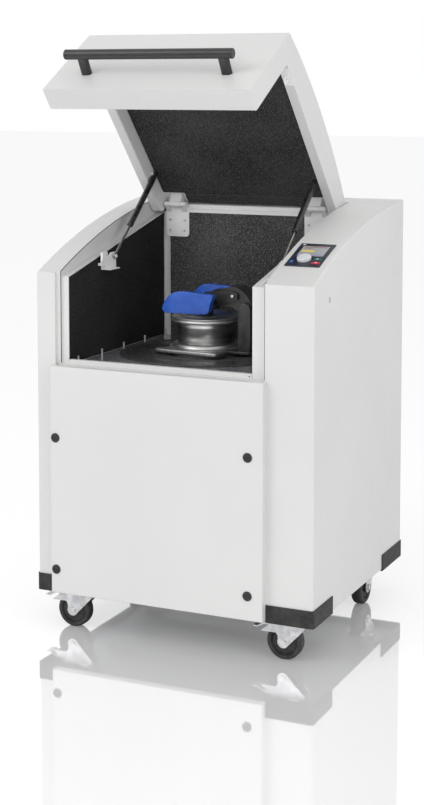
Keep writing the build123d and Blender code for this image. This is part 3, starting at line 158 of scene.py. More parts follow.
def opened(x, y, z):
    """A point of the closed lid, turned to the open rest."""
    turned = Matrix.Rotation(OPEN_ANGLE, 3, "X") @ Vector((0, y - HINGE_Y, z - HINGE_Z))
    return at(x, turned.y + HINGE_Y, turned.z + HINGE_Z)


def linear(value):
    """A screen value of 0 to 255, as linear light."""
    value /= 255
    return value / 12.92 if value <= 0.04045 else ((value + 0.055) / 1.055) ** 2.4


def colour(red, green, blue):
    return linear(red), linear(green), linear(blue), 1.0


# Materials

class Surface:
    """A material that is built up one texture at a time, in the object's own metres."""

    def __init__(self, name, base, roughness, metallic=0.0, **sockets):
        self.material = bpy.data.materials.new(name)
        self.material.use_nodes = True
        self.material.diffuse_color = base
        self.tree = self.material.node_tree
        self.shader = self.tree.nodes["Principled BSDF"]
        self.shader.inputs["Base Color"].default_value = base
        self.shader.inputs["Roughness"].default_value = roughness
        self.shader.inputs["Metallic"].default_value = metallic
        for socket, value in sockets.items():
            self.shader.inputs[socket.replace("_", " ")].default_value = value
        self.place = self.node("ShaderNodeTexCoord").outputs["Object"]

    def node(self, kind, **settings):
        made = self.tree.nodes.new(kind)
        for key, value in settings.items():
            setattr(made, key, value)
        return made

    def wire(self, output, socket):
        self.tree.links.new(output, socket)

    def stretched(self, scale, centre=(0, 0, 0)):
        mapping = self.node("ShaderNodeMapping", vector_type="TEXTURE")
        mapping.inputs["Location"].default_value = centre
        mapping.inputs["Scale"].default_value = scale
        self.wire(self.place, mapping.inputs["Vector"])
        return mapping.outputs["Vector"]

    def noise(self, scale, detail=2.0, place=None, roughness=0.5):
        made = self.node("ShaderNodeTexNoise")
        made.inputs["Scale"].default_value = scale
        made.inputs["Detail"].default_value = detail
        made.inputs["Roughness"].default_value = roughness
        self.wire(place or self.place, made.inputs["Vector"])
        return made.outputs["Fac"]

    def cells(self, scale):
        made = self.node("ShaderNodeTexVoronoi", feature="F1")
        made.inputs["Scale"].default_value = scale
        self.wire(self.place, made.inputs["Vector"])
        return made.outputs["Distance"]

    def maths(self, operation, first, second):
        made = self.node("ShaderNodeMath", operation=operation)
        for socket, value in zip(made.inputs, (first, second)):
            if isinstance(value, (int, float)):
                socket.default_value = value
            else:
                self.wire(value, socket)
        return made.outputs["Value"]

    def spread(self, value, low, high, to_low=0.0, to_high=1.0):
        made = self.node("ShaderNodeMapRange")
        limits = {"From Min": low, "From Max": high, "To Min": to_low, "To Max": to_high}
        for socket, number in limits.items():
            made.inputs[socket].default_value = number
        self.wire(value, made.inputs["Value"])
        return made.outputs["Result"]

    def blend(self, factor, first, second):
        made = self.node("ShaderNodeMix", data_type="RGBA")
        self.wire(factor, made.inputs["Factor"])
        for index, value in ((6, first), (7, second)):
            if isinstance(value, tuple):
                made.inputs[index].default_value = value
            else:
                self.wire(value, made.inputs[index])
        return made.outputs[2]

    def tint(self, factor, first, second):
        self.wire(self.blend(factor, first, second), self.shader.inputs["Base Color"])

    def polish(self, value, low, high):
        self.wire(self.spread(value, 0.3, 0.7, low, high), self.shader.inputs["Roughness"])

    def bump(self, height, depth, strength=1.0):
        made = self.node("ShaderNodeBump")
        made.inputs["Strength"].default_value = strength
        made.inputs["Distance"].default_value = depth
        self.wire(height, made.inputs["Height"])
        normal = self.shader.inputs["Normal"]
        if normal.is_linked:
            self.wire(normal.links[0].from_socket, made.inputs["Normal"])
        self.wire(made.outputs["Normal"], normal)

    def radius_from(self, centre, across):
        """Distance from a line through centre, with the line's own axis flattened."""
        flat = self.stretched(across, centre)
        length = self.node("ShaderNodeVectorMath", operation="LENGTH")
        self.wire(flat, length.inputs[0])
        return length.outputs["Value"]


def powder_coat(name, base, warm, roughness=0.42):
    """Powder coat: a faint orange peel, and a colour that drifts a little over a sheet."""
    coat = Surface(name, base, roughness, Specular_IOR_Level=0.5)
    coat.tint(coat.spread(coat.noise(2.2, 3), 0.3, 0.7), base, warm)
    coat.polish(coat.noise(26, 3), roughness - 0.05, roughness + 0.06)
    coat.bump(coat.noise(620, 2), 0.00016, 0.5)
    coat.bump(coat.noise(70, 1), 0.00022, 0.35)
    return coat.material


def foam(name, dark, pale, speck):
    """Sound foam with a textured black face: open grain, pale specks and soft patches."""
    face = Surface(name, dark, 0.95, Specular_IOR_Level=0.25)
    grain = face.noise(300, 4, roughness=0.75)
    ribs = face.cells(260)
    worn = face.spread(face.noise(4, 3), 0.36, 0.64)
    ground_tone = face.blend(worn, dark, pale)
    pits = face.maths("MULTIPLY", grain, face.spread(ribs, 0.0, 0.6, 1.3, 0.6))
    specks = face.spread(pits, 0.36, 0.72)
    face.tint(specks, ground_tone, speck)
    face.bump(grain, 0.0016, 1.0)
    face.bump(ribs, 0.0012, 0.8)
    return face.material


def rubber(name, base=colour(34, 34, 35), roughness=0.6):
    skin = Surface(name, base, roughness, Specular_IOR_Level=0.4)
    skin.tint(skin.spread(skin.noise(38, 4), 0.35, 0.75), base, colour(58, 57, 56))
    skin.polish(skin.noise(160, 3), roughness - 0.1, roughness + 0.15)
    skin.bump(skin.noise(900, 2), 0.0003, 0.5)
    return skin.material


def moulded(name, base, worn, roughness=0.35, grain=1300):
    """Moulded plastic with a fine spark-eroded grain."""
    plastic = Surface(name, base, roughness, Specular_IOR_Level=0.5)
    plastic.tint(plastic.spread(plastic.noise(30, 3), 0.4, 0.75), base, worn)
    plastic.polish(plastic.noise(60, 2), roughness - 0.05, roughness + 0.08)
    plastic.bump(plastic.noise(grain, 2), 0.00012, 0.5)
    return plastic.material


def zinc_plate(name):
    """Bright zinc with the cloudy bloom of plated pressings."""
    plate = Surface(name, colour(205, 206, 208), 0.34, 0.85)
    plate.tint(plate.spread(plate.noise(45, 4), 0.35, 0.7), colour(188, 189, 192), colour(226, 226, 226))
    plate.polish(plate.noise(110, 3), 0.24, 0.48)
    plate.bump(plate.noise(700, 2), 0.0001, 0.5)
    return plate.material


def turned_steel(name, centre, base, roughness, rings=True):
    """Turned steel: fine tool rings about the axis, and a few brighter bands."""
    steel = Surface(name, base, roughness, 1.0, Anisotropic=0.45)
    around = steel.radius_from(centre, (1, 1, 1000))
    height = steel.node("ShaderNodeSeparateXYZ")
    steel.wire(steel.place, height.inputs[0])
    along = steel.maths("ADD", around, height.outputs["Z"]) if rings else around
    groove = steel.node("ShaderNodeCombineXYZ")
    steel.wire(along, groove.inputs["X"])
    fine = steel.noise(2600, 2, groove.outputs[0])
    bands = steel.noise(130, 2, groove.outputs[0])
    smear = steel.noise(20, 3)
    light = colour(212, 212, 211)
    steel.tint(steel.spread(bands, 0.3, 0.75), base, light)
    mixed = steel.maths("ADD", steel.maths("MULTIPLY", fine, 0.6), steel.maths("MULTIPLY", smear, 0.4))
    steel.polish(mixed, roughness - 0.08, roughness + 0.12)
    steel.bump(fine, 0.00006, 0.6)
    return steel.material


def cast_iron(name, base=colour(30, 31, 30), roughness=0.36):
    cast = Surface(name, base, roughness, Coat_Weight=0.25, Coat_Roughness=0.25)
    cast.tint(cast.spread(cast.noise(34, 4), 0.4, 0.8), base, colour(56, 56, 54))
    cast.polish(cast.noise(90, 3), roughness - 0.12, roughness + 0.15)
    cast.bump(cast.noise(380, 4), 0.0006, 0.55)
    cast.bump(cast.cells(900), 0.0002, 0.4)
    return cast.material


def glossy_sheet(name):
    """The chamber's dark floor sheet, with its faint lengthwise polish."""
    sheet = Surface(name, colour(142, 143, 146), 0.2, 0.0, Coat_Weight=0.6, Coat_Roughness=0.1)
    brushed = sheet.noise(160, 3, sheet.stretched((1, 14, 1)))
    sheet.tint(sheet.spread(brushed, 0.3, 0.75), colour(128, 129, 132), colour(156, 157, 160))
    sheet.polish(sheet.noise(14, 3), 0.14, 0.3)
    sheet.bump(brushed, 0.00008, 0.4)
    return sheet.material


MILL = at(MILL_X, MILL_Y, 800)
WHITE = powder_coat("white_powder_coat", colour(213, 213, 213), colour(218, 218, 217))
# The same white powder coat, painted lighter on the parts inside the chamber and under the lid, as painted
# light against the shade there
LIGHTENED_INNER_WHITE = powder_coat("inner_powder_coat_painted_light", colour(236, 236, 236), colour(240, 240, 239), 0.36)
GREY = powder_coat("grey_machine_paint", colour(120, 123, 126), colour(132, 134, 136), 0.5)
# One foam in three tones of painted light: the side panels painted darker as shade, the back panel lightest
# and the lid between
SHADED_SIDE_FOAM = foam("side_foam", colour(22, 22, 23), colour(33, 33, 34), colour(70, 69, 68))
BACK_FOAM = foam("back_foam", colour(56, 56, 57), colour(76, 76, 76), colour(146, 145, 142))
LID_FOAM = foam("lid_foam", colour(44, 44, 45), colour(64, 64, 64), colour(118, 117, 115))
RUBBER = rubber("bumper_rubber")
TYRE = rubber("tyre_rubber", colour(30, 30, 31), 0.5)
MATT_RUBBER = rubber("seal_rubber", colour(78, 78, 80), 0.3)
BLACK = moulded("black_plastic", colour(30, 30, 31), colour(42, 42, 43), 0.38)
HANDLE = moulded("handle_lacquer", colour(36, 36, 38), colour(46, 46, 48), 0.34, 700)
BLUE = moulded("blue_grip", colour(40, 88, 186), colour(50, 104, 204), 0.22)
SILVER = moulded("silver_plastic", colour(214, 216, 220), colour(232, 233, 235), 0.28)
ZINC = zinc_plate("bright_zinc")
STEEL = turned_steel("turned_steel", MILL, colour(160, 160, 159), 0.3)
CARRIER = turned_steel("milled_plate", MILL, colour(176, 176, 175), 0.36, False)
FACED_STEEL = turned_steel("faced_steel", MILL, colour(186, 186, 185), 0.42)
BARE_STEEL = turned_steel("bare_steel", at(0, 0, 0), colour(160, 160, 160), 0.3, False)
CAST = cast_iron("cast_iron")
DARK_ROD = turned_steel("dark_rod", at(0, 0, 0), colour(46, 46, 47), 0.3, False)
BARREL = cast_iron("strut_lacquer", colour(26, 26, 27), 0.3)
FLOOR = glossy_sheet("floor_sheet")
BEZEL = moulded("panel_film", colour(42, 46, 56), colour(50, 54, 64), 0.3, 1600)
SCREEN = moulded("display_film", colour(168, 170, 172), colour(180, 181, 182), 0.15, 2200)
NAVY = moulded("navy_key", colour(26, 44, 84), colour(34, 54, 96), 0.35)
GREEN = moulded("green_key", colour(24, 110, 92), colour(34, 124, 104), 0.35)
RED = moulded("red_key", colour(190, 44, 62), colour(206, 62, 78), 0.35)
DARK_RED = moulded("display_red", colour(150, 52, 60), colour(160, 62, 70), 0.3)
YELLOW = moulded("display_yellow", colour(226, 206, 96), colour(232, 214, 110), 0.3)
VIOLET = moulded("display_violet", colour(150, 140, 178), colour(160, 150, 186), 0.3)
PALE_BLUE = moulded("icon_blue", colour(110, 160, 214), colour(124, 172, 222), 0.3)
PALE = moulded("icon_white", colour(222, 226, 232), colour(232, 234, 238), 0.3)

LOOKS = (
    (WHITE, ("left_housing", "right_housing", "rear_panel", "rear_deck", "front_cover", "lid_shell",
             "chamber_walls", "front_rail")),
    (LIGHTENED_INNER_WHITE, ("lid_liner", "rear_bulkhead", "hinge_and_strut_brackets", "striker_plate", "lid_lock")),
    (GREY, ("base_frame", "drive_frame", "drive_plate", "motor")),
    (RUBBER, ("corner_bumpers", "vibration_mounts", "edge_seals")),
    (MATT_RUBBER, ("floor_seal",)),
    (BLACK, ("cover_lock_1", "cover_lock_2", "cover_lock_3", "cover_lock_4", "mains_inlet")),
    (HANDLE, ("lid_handle",)),
    (BACK_FOAM, ("chamber_foams", "foam_lid")),
    (FLOOR, ("chamber_floor",)),
    (ZINC, ("floor_studs", "brake_pedal_front_left", "brake_pedal_front_right")),
    (ZINC, tuple("caster_fork_" + corner for corner in CASTERS)),
    (TYRE, tuple("caster_wheel_" + corner for corner in CASTERS)),
    (STEEL, ("grinding_jar", "jar_lid", "grinding_ring", "grinding_puck")),
    (CARRIER, ("carrier_plate",)),
    (BARE_STEEL, ("motor_rotor",)),
    (DARK_ROD, ("strut_rod_left", "strut_rod_right")),
    (CAST, ("clamp_arm", "clamp_levers")),
    (BARREL, ("strut_barrel_left", "strut_barrel_right")),
    (BLUE, ("clamp_grips",)),
    (BEZEL, ("control_bezel",)),
    (SCREEN, ("display_window",)),
    (SILVER, ("menu_knob",)),
    (NAVY, ("menu_button",)),
    (GREEN, ("start_button",)),
    (RED, ("stop_button",)),
)
for material, names in LOOKS:
    for name in names:
        slots = nodes[name].data.materials
        slots.clear()
        slots.append(material)


# Making of pieces

def piece(name, shape, material, body, smooth=40):
    """A bmesh in the frame's metres, as an object that rides on a body."""
    mesh = bpy.data.meshes.new(name)
    bmesh.ops.recalc_face_normals(shape, faces=shape.faces)
    shape.to_mesh(mesh)
    shape.free()
    mesh.materials.append(material)
    made = bpy.data.objects.new(name, mesh)
    bpy.context.scene.collection.objects.link(made)
    for face in mesh.polygons:
        face.use_smooth = True
    mesh.set_sharp_from_angle(angle=math.radians(smooth))
    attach(made, body)
    return made


def spaced(length, rounding, step):
    """Places along an edge, close together where it is rounded."""
    ends = [0.0, rounding * 0.15, rounding * 0.4, rounding * 0.75, rounding, rounding * 1.8]
    count = max(1, round((length - 2 * ends[-1]) / step))
    middle = [ends[-1] + (length - 2 * ends[-1]) * i / count for i in range(1, count)]
    return [v / length for v in ends + middle + [length - e for e in reversed(ends)]]


def foam_panel(name, material, body, corners, out, depth):
    """A foam panel cut to four corners of its face, with soft edges and a face that isn't quite flat."""
    a, b, c, d = corners
    width = (b - a).length
    height = (d - a).length
    along = spaced(width, FOAM_ROUNDING, FOAM_STEP)
    up = spaced(height, FOAM_ROUNDING, FOAM_STEP)
    shape = bmesh.new()
    rows = []
    for v in up:
        row = []
        for u in along:
            low = a.lerp(b, u)
            high = d.lerp(c, u)
            point = low.lerp(high, v)
            edge = min(u * width, (1 - u) * width, v * height, (1 - v) * height)
            short = max(0.0, FOAM_ROUNDING - edge)
            drop = FOAM_ROUNDING - math.sqrt(max(0.0, FOAM_ROUNDING ** 2 - short ** 2))
            if edge > 0:
                wave = (noise.noise(point * 9) + 0.5 * noise.noise(point * 23)) * FOAM_SWELL
                drop = drop + FOAM_SWELL - min(FOAM_SWELL, wave)
            row.append(shape.verts.new(point - out * drop))
        rows.append(row)
    for low, high in zip(rows, rows[1:]):
        for i in range(len(low) - 1):
            shape.faces.new((low[i], low[i + 1], high[i + 1], high[i]))
    rim = rows[0] + [row[-1] for row in rows[1:]]
    rim += list(reversed(rows[-1][:-1])) + [row[0] for row in reversed(rows[1:-1])]
    back = [shape.verts.new(v.co - out * (depth + (v.co - a).dot(out))) for v in rim]
    for i in range(len(rim)):
        j = (i + 1) % len(rim)
        shape.faces.new((rim[i], rim[j], back[j], back[i]))
    shape.faces.new(list(reversed(back)))
    return piece(name, shape, material, body, 60)


def lathe(profile, centre, axis, steps):
    """A profile of (radius, distance along the axis) in millimetres, turned about an axis."""
    turn = Vector((0, 0, 1)).rotation_difference(Vector(axis)).to_matrix()
    shape = bmesh.new()
    rings = []
    for radius, along in profile:
        ring = []
        for i in range(steps if radius else 1):
            angle = math.tau * i / steps
            point = Vector((radius * math.cos(angle), radius * math.sin(angle), along))
            ring.append(shape.verts.new(centre + turn @ point / 1000))
        rings.append(ring)
    for low, high in zip(rings, rings[1:]):
        for i in range(steps):
            j = (i + 1) % steps
            if len(low) == 1:
                shape.faces.new((low[0], high[j], high[i]))
            elif len(high) == 1:
                shape.faces.new((low[i], low[j], high[0]))
            else:
                shape.faces.new((low[i], low[j], high[j], high[i]))
    return shape


def merged(shapes):
    """Several bmeshes in one."""
    whole = bmesh.new()
    for shape in shapes:
        mesh = bpy.data.meshes.new("part")
        shape.to_mesh(mesh)
        shape.free()
        whole.from_mesh(mesh)
        bpy.data.meshes.remove(mesh)
    return whole


def screw_head(centre, axis, radius=4.0, height=2.6):
    """A button head with a round socket, seated on a face."""
    parts = ((1, 0), (1, 0.35), (0.86, 0.75), (0.55, 1), (0.5, 1), (0.46, 0.35), (0, 0.3))
    return lathe([(radius * across, height * up) for across, up in parts], centre, axis, 24)


def slab(outline, way, bevel):
    """A closed outline pushed along a vector in metres, its edges rounded by a bevel in millimetres."""
    shape = bmesh.new()
    low = [shape.verts.new(point) for point in outline]
    high = [shape.verts.new(point + way) for point in outline]
    shape.faces.new(list(reversed(low)))
    shape.faces.new(high)
    for i in range(len(outline)):
        j = (i + 1) % len(outline)
        shape.faces.new((low[i], low[j], high[j], high[i]))
    bmesh.ops.recalc_face_normals(shape, faces=shape.faces)
    bmesh.ops.bevel(shape, geom=shape.edges, offset=bevel / 1000, segments=3, profile=0.5, affect="EDGES",
                    clamp_overlap=True)
    return shape


def rounded(corners, radius, steps=5):
    """A flat outline of (x, y) corners with each corner turned into an arc."""
    made = []
    count = len(corners)
    for i in range(count):
        here = Vector(corners[i])
        before = Vector(corners[i - 1]) - here
        after = Vector(corners[(i + 1) % count]) - here
        reach = min(radius, before.length * 0.4, after.length * 0.4)
        start = here + before.normalized() * reach
        end = here + after.normalized() * reach
        for step in range(steps + 1):
            t = step / steps
            made.append(start * (1 - t) ** 2 + here * 2 * t * (1 - t) + end * t ** 2)
    return made


# Jar and its lid on the carrier plate

PLATE_CORNERS = (
    (-180, -118), (27, -141), (40, -120), (17, 140), (-60, 150), (-140, 124), (-166, 84), (-128, -30))
PLATE_SCREWS = ((4, 96), (12, 40), (-148, 96))
FOOT_CORNERS = ((8, -72), (100, -72), (114, -58), (114, 38), (100, 52), (8, 52))


def on_axis(profile):
    """A shape turned about the mill's axis, from (radius, height over the floor)."""
    return lathe(profile, at(MILL_X, MILL_Y, 0), (0, 0, 1), 96)


pad = on_axis([
    (0, PLATE_TOP - 2), (PAD_RADIUS, PLATE_TOP - 2), (PAD_RADIUS, PLATE_TOP + 1), (99, PLATE_TOP + 3),
    (96, PAD_TOP - 2), (94, PAD_TOP), (0, PAD_TOP)])
plate_outline = [at(x, y, PLATE_TOP - 10) for x, y in rounded(PLATE_CORNERS, 16)]
plate = slab(plate_outline, Vector((0, 0, 0.01)), 1.6)
carrier = piece("carrier_top", merged([plate, pad]), CARRIER, "platform")
foot_outline = [at(x, y, FOOT_LOW) for x, y in rounded(FOOT_CORNERS, 12)]
bracket = [slab(foot_outline, Vector((0, 0, 0.008)), 2)]
lug_side = [
    (66, LUG_LOW), (102, LUG_LOW), (PIVOT_X + LUG_RADIUS, LUG_NECK), (PIVOT_X + LUG_RADIUS, PIVOT_Z)]
for degrees in range(15, 180, 15):
    turn = math.radians(degrees)
    lug_side.append((PIVOT_X + LUG_RADIUS * math.cos(turn), PIVOT_Z + LUG_RADIUS * math.sin(turn)))
lug_side += [(PIVOT_X - LUG_RADIUS, PIVOT_Z), (PIVOT_X - LUG_RADIUS, LUG_NECK)]
for lug_y in LUG_PLACES:
    bracket.append(slab([at(x, lug_y, z) for x, z in lug_side], Vector((0, 0.01, 0)), 2))
bracket.append(lathe([(0, 0), (7, 0), (7, 86), (0, 86)], at(PIVOT_X, -53, PIVOT_Z), (0, 1, 0), 32))
piece("carrier_lugs", merged(bracket), CAST, "platform")
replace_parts(carrier, "carrier_plate")
plate_screws = [screw_head(at(x, y, PLATE_TOP - 0.2), (0, 0, 1), 5, 3.4) for x, y in PLATE_SCREWS]
piece("carrier_screws", merged(plate_screws), ZINC, "platform")

jar = on_axis([
    (0, PAD_TOP), (JAR_FOOT - 2, PAD_TOP), (JAR_FOOT, PAD_TOP + 1.5), (JAR_FOOT, PAD_TOP + 14),
    (JAR_SIDE, PAD_TOP + 17), (JAR_SIDE, BAND_LOW), (JAR_BAND, BAND_LOW + 2), (JAR_BAND, BAND_LOW + 6),
    (JAR_SIDE, BAND_LOW + 8), (JAR_SIDE, JAR_TOP - 3), (JAR_RIM, JAR_TOP - 2), (JAR_RIM, JAR_TOP),
    (70, JAR_TOP), (0, JAR_TOP)])
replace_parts(piece("jar_body", jar, STEEL, "platform"), "grinding_jar")
cover = on_axis([
    (0, 848), (97, 848), (100, 849.4), (101, 851.5), (101, 855), (100, 856.6), (96.5, 857.2), (96.5, 858.6),
    (99.4, 859.2), (100.4, 861), (100, 863.4), (97.5, 865), (84, 867.4), (80, 867.8), (78.5, 866.6),
    (70, 866.6), (68.5, 868), (40, 868.8), (0, 868.9)])
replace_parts(piece("jar_cover", cover, FACED_STEEL, "platform"), "jar_lid")

# Grips of the clamp

grip_corners = (
    (-4, 882), (-140, 880), (-150, 890), (-144, 908), (-131, 928),
    (-112, 941), (-90, 944), (14, 938), (2, 912))
grip_side = rounded(grip_corners, 14, 4)
grips = []
for grip_y in GRIP_PLACES:
    grips.append(slab([at(x, grip_y, z) for x, z in grip_side], Vector((0, GRIP_WIDTH, 0)), 6))
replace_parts(piece("grips", merged(grips), BLUE, "lever"), "clamp_grips")
lever_pin = lathe([(0, 0), (4.6, 0), (4.8, -1.5), (3.8, -2.6), (0, -2.8)], at(44, -56, 930), (0, 1, 0), 32)
piece("lever_pin", lever_pin, ZINC, "clamp")

# Foams


def wall_top(y):
    """Height of the side walls' sloping top."""
    return WALL_FRONT_TOP + (y - WALL_FRONT) * math.tan(WALL_SLOPE)


def side_foam(name, x, out):
    """One side panel, from the floor up to the sloping wall top."""
    front_top = wall_top(SIDE_FOAM_FRONT) - SIDE_FOAM_DROP
    rear_top = wall_top(SIDE_FOAM_REAR) - SIDE_FOAM_DROP
    corners = (at(x, SIDE_FOAM_FRONT, FOAM_LOW), at(x, SIDE_FOAM_REAR, FOAM_LOW),
               at(x, SIDE_FOAM_REAR, rear_top), at(x, SIDE_FOAM_FRONT, front_top))
    return foam_panel(name, SHADED_SIDE_FOAM, "cabinet", corners, Vector((out, 0, 0)), FOAM_DEPTH)


side_foam("foam_panel_left", LEFT_FOAM_FACE, 1)
side_foam("foam_panel_right", RIGHT_FOAM_FACE, -1)
back_corners = [at(x, BACK_FOAM_FACE, z) for x, z in (
    (BACK_FOAM_LEFT, FOAM_LOW), (BACK_FOAM_RIGHT, FOAM_LOW),
    (BACK_FOAM_RIGHT, BACK_FOAM_TOP), (BACK_FOAM_LEFT, BACK_FOAM_TOP))]
back_foam = foam_panel("foam_panel_back", BACK_FOAM, "cabinet", back_corners, Vector((0, -1, 0)), FOAM_DEPTH)
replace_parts(back_foam, "chamber_foams")

lid_turn = Matrix.Rotation(OPEN_ANGLE, 3, "X") @ Matrix.Rotation(WALL_SLOPE, 3, "X")
lid_out = lid_turn @ Vector((0, 0, -1))


def lid_panel(name, left, right, front, rear):
    """A foam panel under the lid's liner, in the lid's open rest."""
    corners = [opened(x, y, wall_top(y) + LID_FLANGE_GAP + LID_FOAM_LIFT) for x, y in (
        (left, front), (right, front), (right, rear), (left, rear))]
    return foam_panel(name, LID_FOAM, "lid", corners, lid_out, LID_FOAM_DEPTH)


lid_foam = lid_panel("foam_panel_lid", LID_FOAM_LEFT, LID_FOAM_RIGHT, LID_FOAM_FRONT, LID_FOAM_REAR)
lid_panel("foam_strip_lid", LID_STRIP_LEFT, LID_STRIP_RIGHT, LID_STRIP_FRONT, LID_STRIP_REAR)
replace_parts(lid_foam, "foam_lid")

# Control panel: what the display shows, and the marks on the keys

PANEL = at(342, -212, 1076.35)
PANEL_UP = Vector((0, math.cos(PANEL_TILT), math.sin(PANEL_TILT)))
PANEL_OUT = Vector((0, -math.sin(PANEL_TILT), math.cos(PANEL_TILT)))


def on_panel(u, v, lift):
    return PANEL + (Vector((u, 0, 0)) + PANEL_UP * v + PANEL_OUT * lift) / 1000


def patch(u0, u1, v0, v1, lift):
    """A thin flat mark on the panel, with its corners cut off."""
    shape = bmesh.new()
    cut = min(u1 - u0, v1 - v0) * 0.18
    outline = [(u0 + cut, v0), (u1 - cut, v0), (u1, v0 + cut), (u1, v1 - cut), (u1 - cut, v1), (u0 + cut, v1),
               (u0, v1 - cut), (u0, v0 + cut)]
    low = [shape.verts.new(on_panel(u, v, lift)) for u, v in outline]
    high = [shape.verts.new(on_panel(u, v, lift + MARK_THICK)) for u, v in outline]
    shape.faces.new(list(reversed(low)))
    shape.faces.new(high)
    for i in range(len(outline)):
        j = (i + 1) % len(outline)
        shape.faces.new((low[i], low[j], high[j], high[i]))
    return shape


heading = [patch(-34, 34, 47, 49.5, SCREEN_LIFT), patch(-34, -12, 40.5, 42.5, SCREEN_LIFT)]
footer = [patch(-36, 36, -5, 2, SCREEN_LIFT), patch(-34, -4, 7, 9, SCREEN_LIFT)]
cross = [patch(-42, -32, -47.5, -45, KEY_LIFT), patch(-38.3, -35.7, -53, -39, KEY_LIFT)]
piece("display_heading", merged(heading), DARK_RED, "cabinet")
piece("display_bar", patch(-34, 4, 18, 29, SCREEN_LIFT), YELLOW, "cabinet")
piece("display_footer", merged(footer), VIOLET, "cabinet")
piece("panel_light", patch(-43, -35, 59, 64, LIGHT_LIFT), PALE, "cabinet")
piece("menu_mark", merged(cross), PALE_BLUE, "menu_button_body")
piece("start_mark", patch(27, 33, -28, -24, KEY_LIFT), PALE, "start_button_body")
piece("stop_mark", patch(30, 35, -51, -46, KEY_LIFT), PALE, "stop_button_body")

# Release port: a black slab at the bottom of its slot, as painted shade in the slot

port_corners = (
    (-PORT_HALF_WIDTH, -PORT_HALF_HEIGHT), (PORT_HALF_WIDTH, -PORT_HALF_HEIGHT),
    (PORT_HALF_WIDTH, PORT_HALF_HEIGHT), (-PORT_HALF_WIDTH, PORT_HALF_HEIGHT))
port_slot = [at(PORT_X, PORT_Y + y, PORT_Z + z) for y, z in rounded(port_corners, 4)]
piece("release_port_painted_shade", slab(port_slot, Vector((0.007, 0, 0)), 0.3), BLACK, "cabinet")

# Hinge screws

for side, middle in HINGE_MIDDLES:
    heads = [screw_head(at(middle + across, HINGE_PLATE_FACE, row), (0, -1, 0))
             for across in (-HINGE_SCREW_HALF, HINGE_SCREW_HALF) for row in HINGE_SCREW_ROWS]
    piece("hinge_screws_" + side, merged(heads), ZINC, "cabinet")

# Ground: matt and half mirror, with a little glow that only the camera sees

ground = bpy.data.meshes.new("ground")
ground_corners = [(x * GROUND_REACH, y * GROUND_REACH, 0) for x, y in ((-1, -1), (1, -1), (1, 1), (-1, 1))]
ground.from_pydata(ground_corners, [], [(0, 1, 2, 3)])
floor = bpy.data.objects.new("ground", ground)
bpy.context.scene.collection.objects.link(floor)
tiles = bpy.data.materials.new("studio_floor")
tiles.use_nodes = True
tree = tiles.node_tree
tree.nodes.clear()
out = tree.nodes.new("ShaderNodeOutputMaterial")
matt = tree.nodes.new("ShaderNodeBsdfDiffuse")
matt.inputs["Color"].default_value = FLOOR_SHADE
mirror = tree.nodes.new("ShaderNodeBsdfGlossy")
mirror.inputs["Color"].default_value = (1, 1, 1, 1)
mirror.inputs["Roughness"].default_value = FLOOR_GLOSS
shine = tree.nodes.new("ShaderNodeMixShader")
shine.inputs["Fac"].default_value = FLOOR_MIRROR
glow = tree.nodes.new("ShaderNodeEmission")
seen = tree.nodes.new("ShaderNodeLightPath")
amount = tree.nodes.new("ShaderNodeMath")
amount.operation = "MULTIPLY"
amount.inputs[1].default_value = FLOOR_GLOW
both = tree.nodes.new("ShaderNodeAddShader")
for output, socket in (
        (seen.outputs["Is Camera Ray"], amount.inputs[0]), (amount.outputs[0], glow.inputs["Strength"]),
        (matt.outputs[0], shine.inputs[1]), (mirror.outputs[0], shine.inputs[2]),
        (shine.outputs[0], both.inputs[0]), (glow.outputs[0], both.inputs[1]),
        (both.outputs[0], out.inputs["Surface"])):
    tree.links.new(output, socket)
ground.materials.append(tiles)

# Sky: white to the camera and in mirrors, dimmer as a light

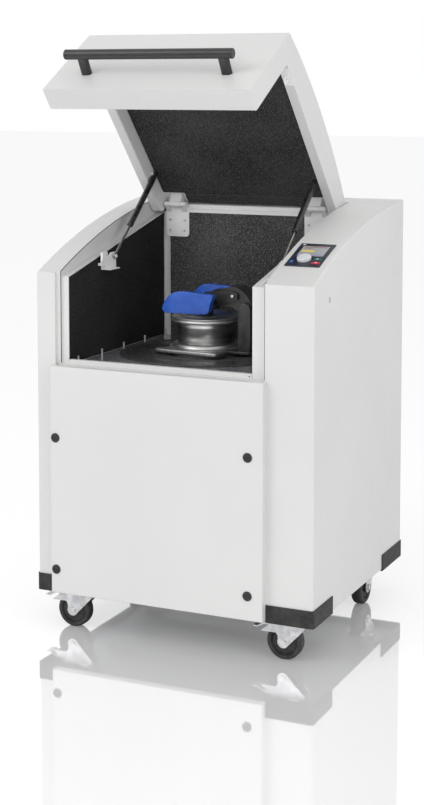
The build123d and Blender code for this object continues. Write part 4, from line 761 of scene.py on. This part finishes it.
world = bpy.data.worlds.new("studio")
bpy.context.scene.world = world
world.use_nodes = True
sky = world.node_tree
background = sky.nodes["Background"]
path = sky.nodes.new("ShaderNodeLightPath")
seen_white = sky.nodes.new("ShaderNodeMath")
seen_white.operation = "MAXIMUM"
level = sky.nodes.new("ShaderNodeMapRange")
level.inputs["To Min"].default_value = SKY_AS_LIGHT
level.inputs["To Max"].default_value = SKY_AS_SEEN
background.inputs["Color"].default_value = (1, 1, 1, 1)
for output, socket in (
        (path.outputs["Is Camera Ray"], seen_white.inputs[0]),
        (path.outputs["Is Glossy Ray"], seen_white.inputs[1]),
        (seen_white.outputs[0], level.inputs["Value"]),
        (level.outputs["Result"], background.inputs["Strength"])):
    sky.links.new(output, socket)

# Lights and camera


def soft_light(name, place, aim, size, power):
    lamp = bpy.data.lights.new(name, "AREA")
    lamp.shape = "RECTANGLE"
    lamp.size, lamp.size_y = size
    lamp.energy = power
    made = bpy.data.objects.new(name, lamp)
    made.location = place
    made.rotation_euler = (Vector(aim) - Vector(place)).to_track_quat("-Z", "Y").to_euler()
    bpy.context.scene.collection.objects.link(made)


soft_light("key_light", (-2.6, -3.4, 3.6), (0, 0, 0.9), (2.4, 2.4), 60)
soft_light("front_light", (1.0, -4.2, 2.3), (-0.1, 0, 0.9), (2.0, 1.4), 22)
soft_light("side_light", (3.6, -1.6, 2.4), (0, 0, 0.8), (1.8, 2.6), 34)

camera_data = bpy.data.cameras.new("photo_camera")
camera_data.sensor_width = SENSOR_WIDTH
camera_data.lens = SENSOR_WIDTH * PHOTO_FOCUS / PHOTO_HEIGHT
camera_data.shift_y = (PHOTO_CENTRE_ROW - PHOTO_HEIGHT / 2) / PHOTO_HEIGHT
camera_data.clip_end = 200
camera = bpy.data.objects.new("photo_camera", camera_data)
bpy.context.scene.collection.objects.link(camera)
towards = Vector((math.sin(CAMERA_AZIMUTH) * math.cos(CAMERA_ELEVATION),
                  -math.cos(CAMERA_AZIMUTH) * math.cos(CAMERA_ELEVATION),
                  math.sin(CAMERA_ELEVATION)))
camera.location = at(*CAMERA_AIM) + towards * CAMERA_DISTANCE / 1000
camera.rotation_euler = towards.to_track_quat("Z", "Y").to_euler()
bpy.context.scene.camera = camera
bpy.context.scene.view_settings.view_transform = "Standard"
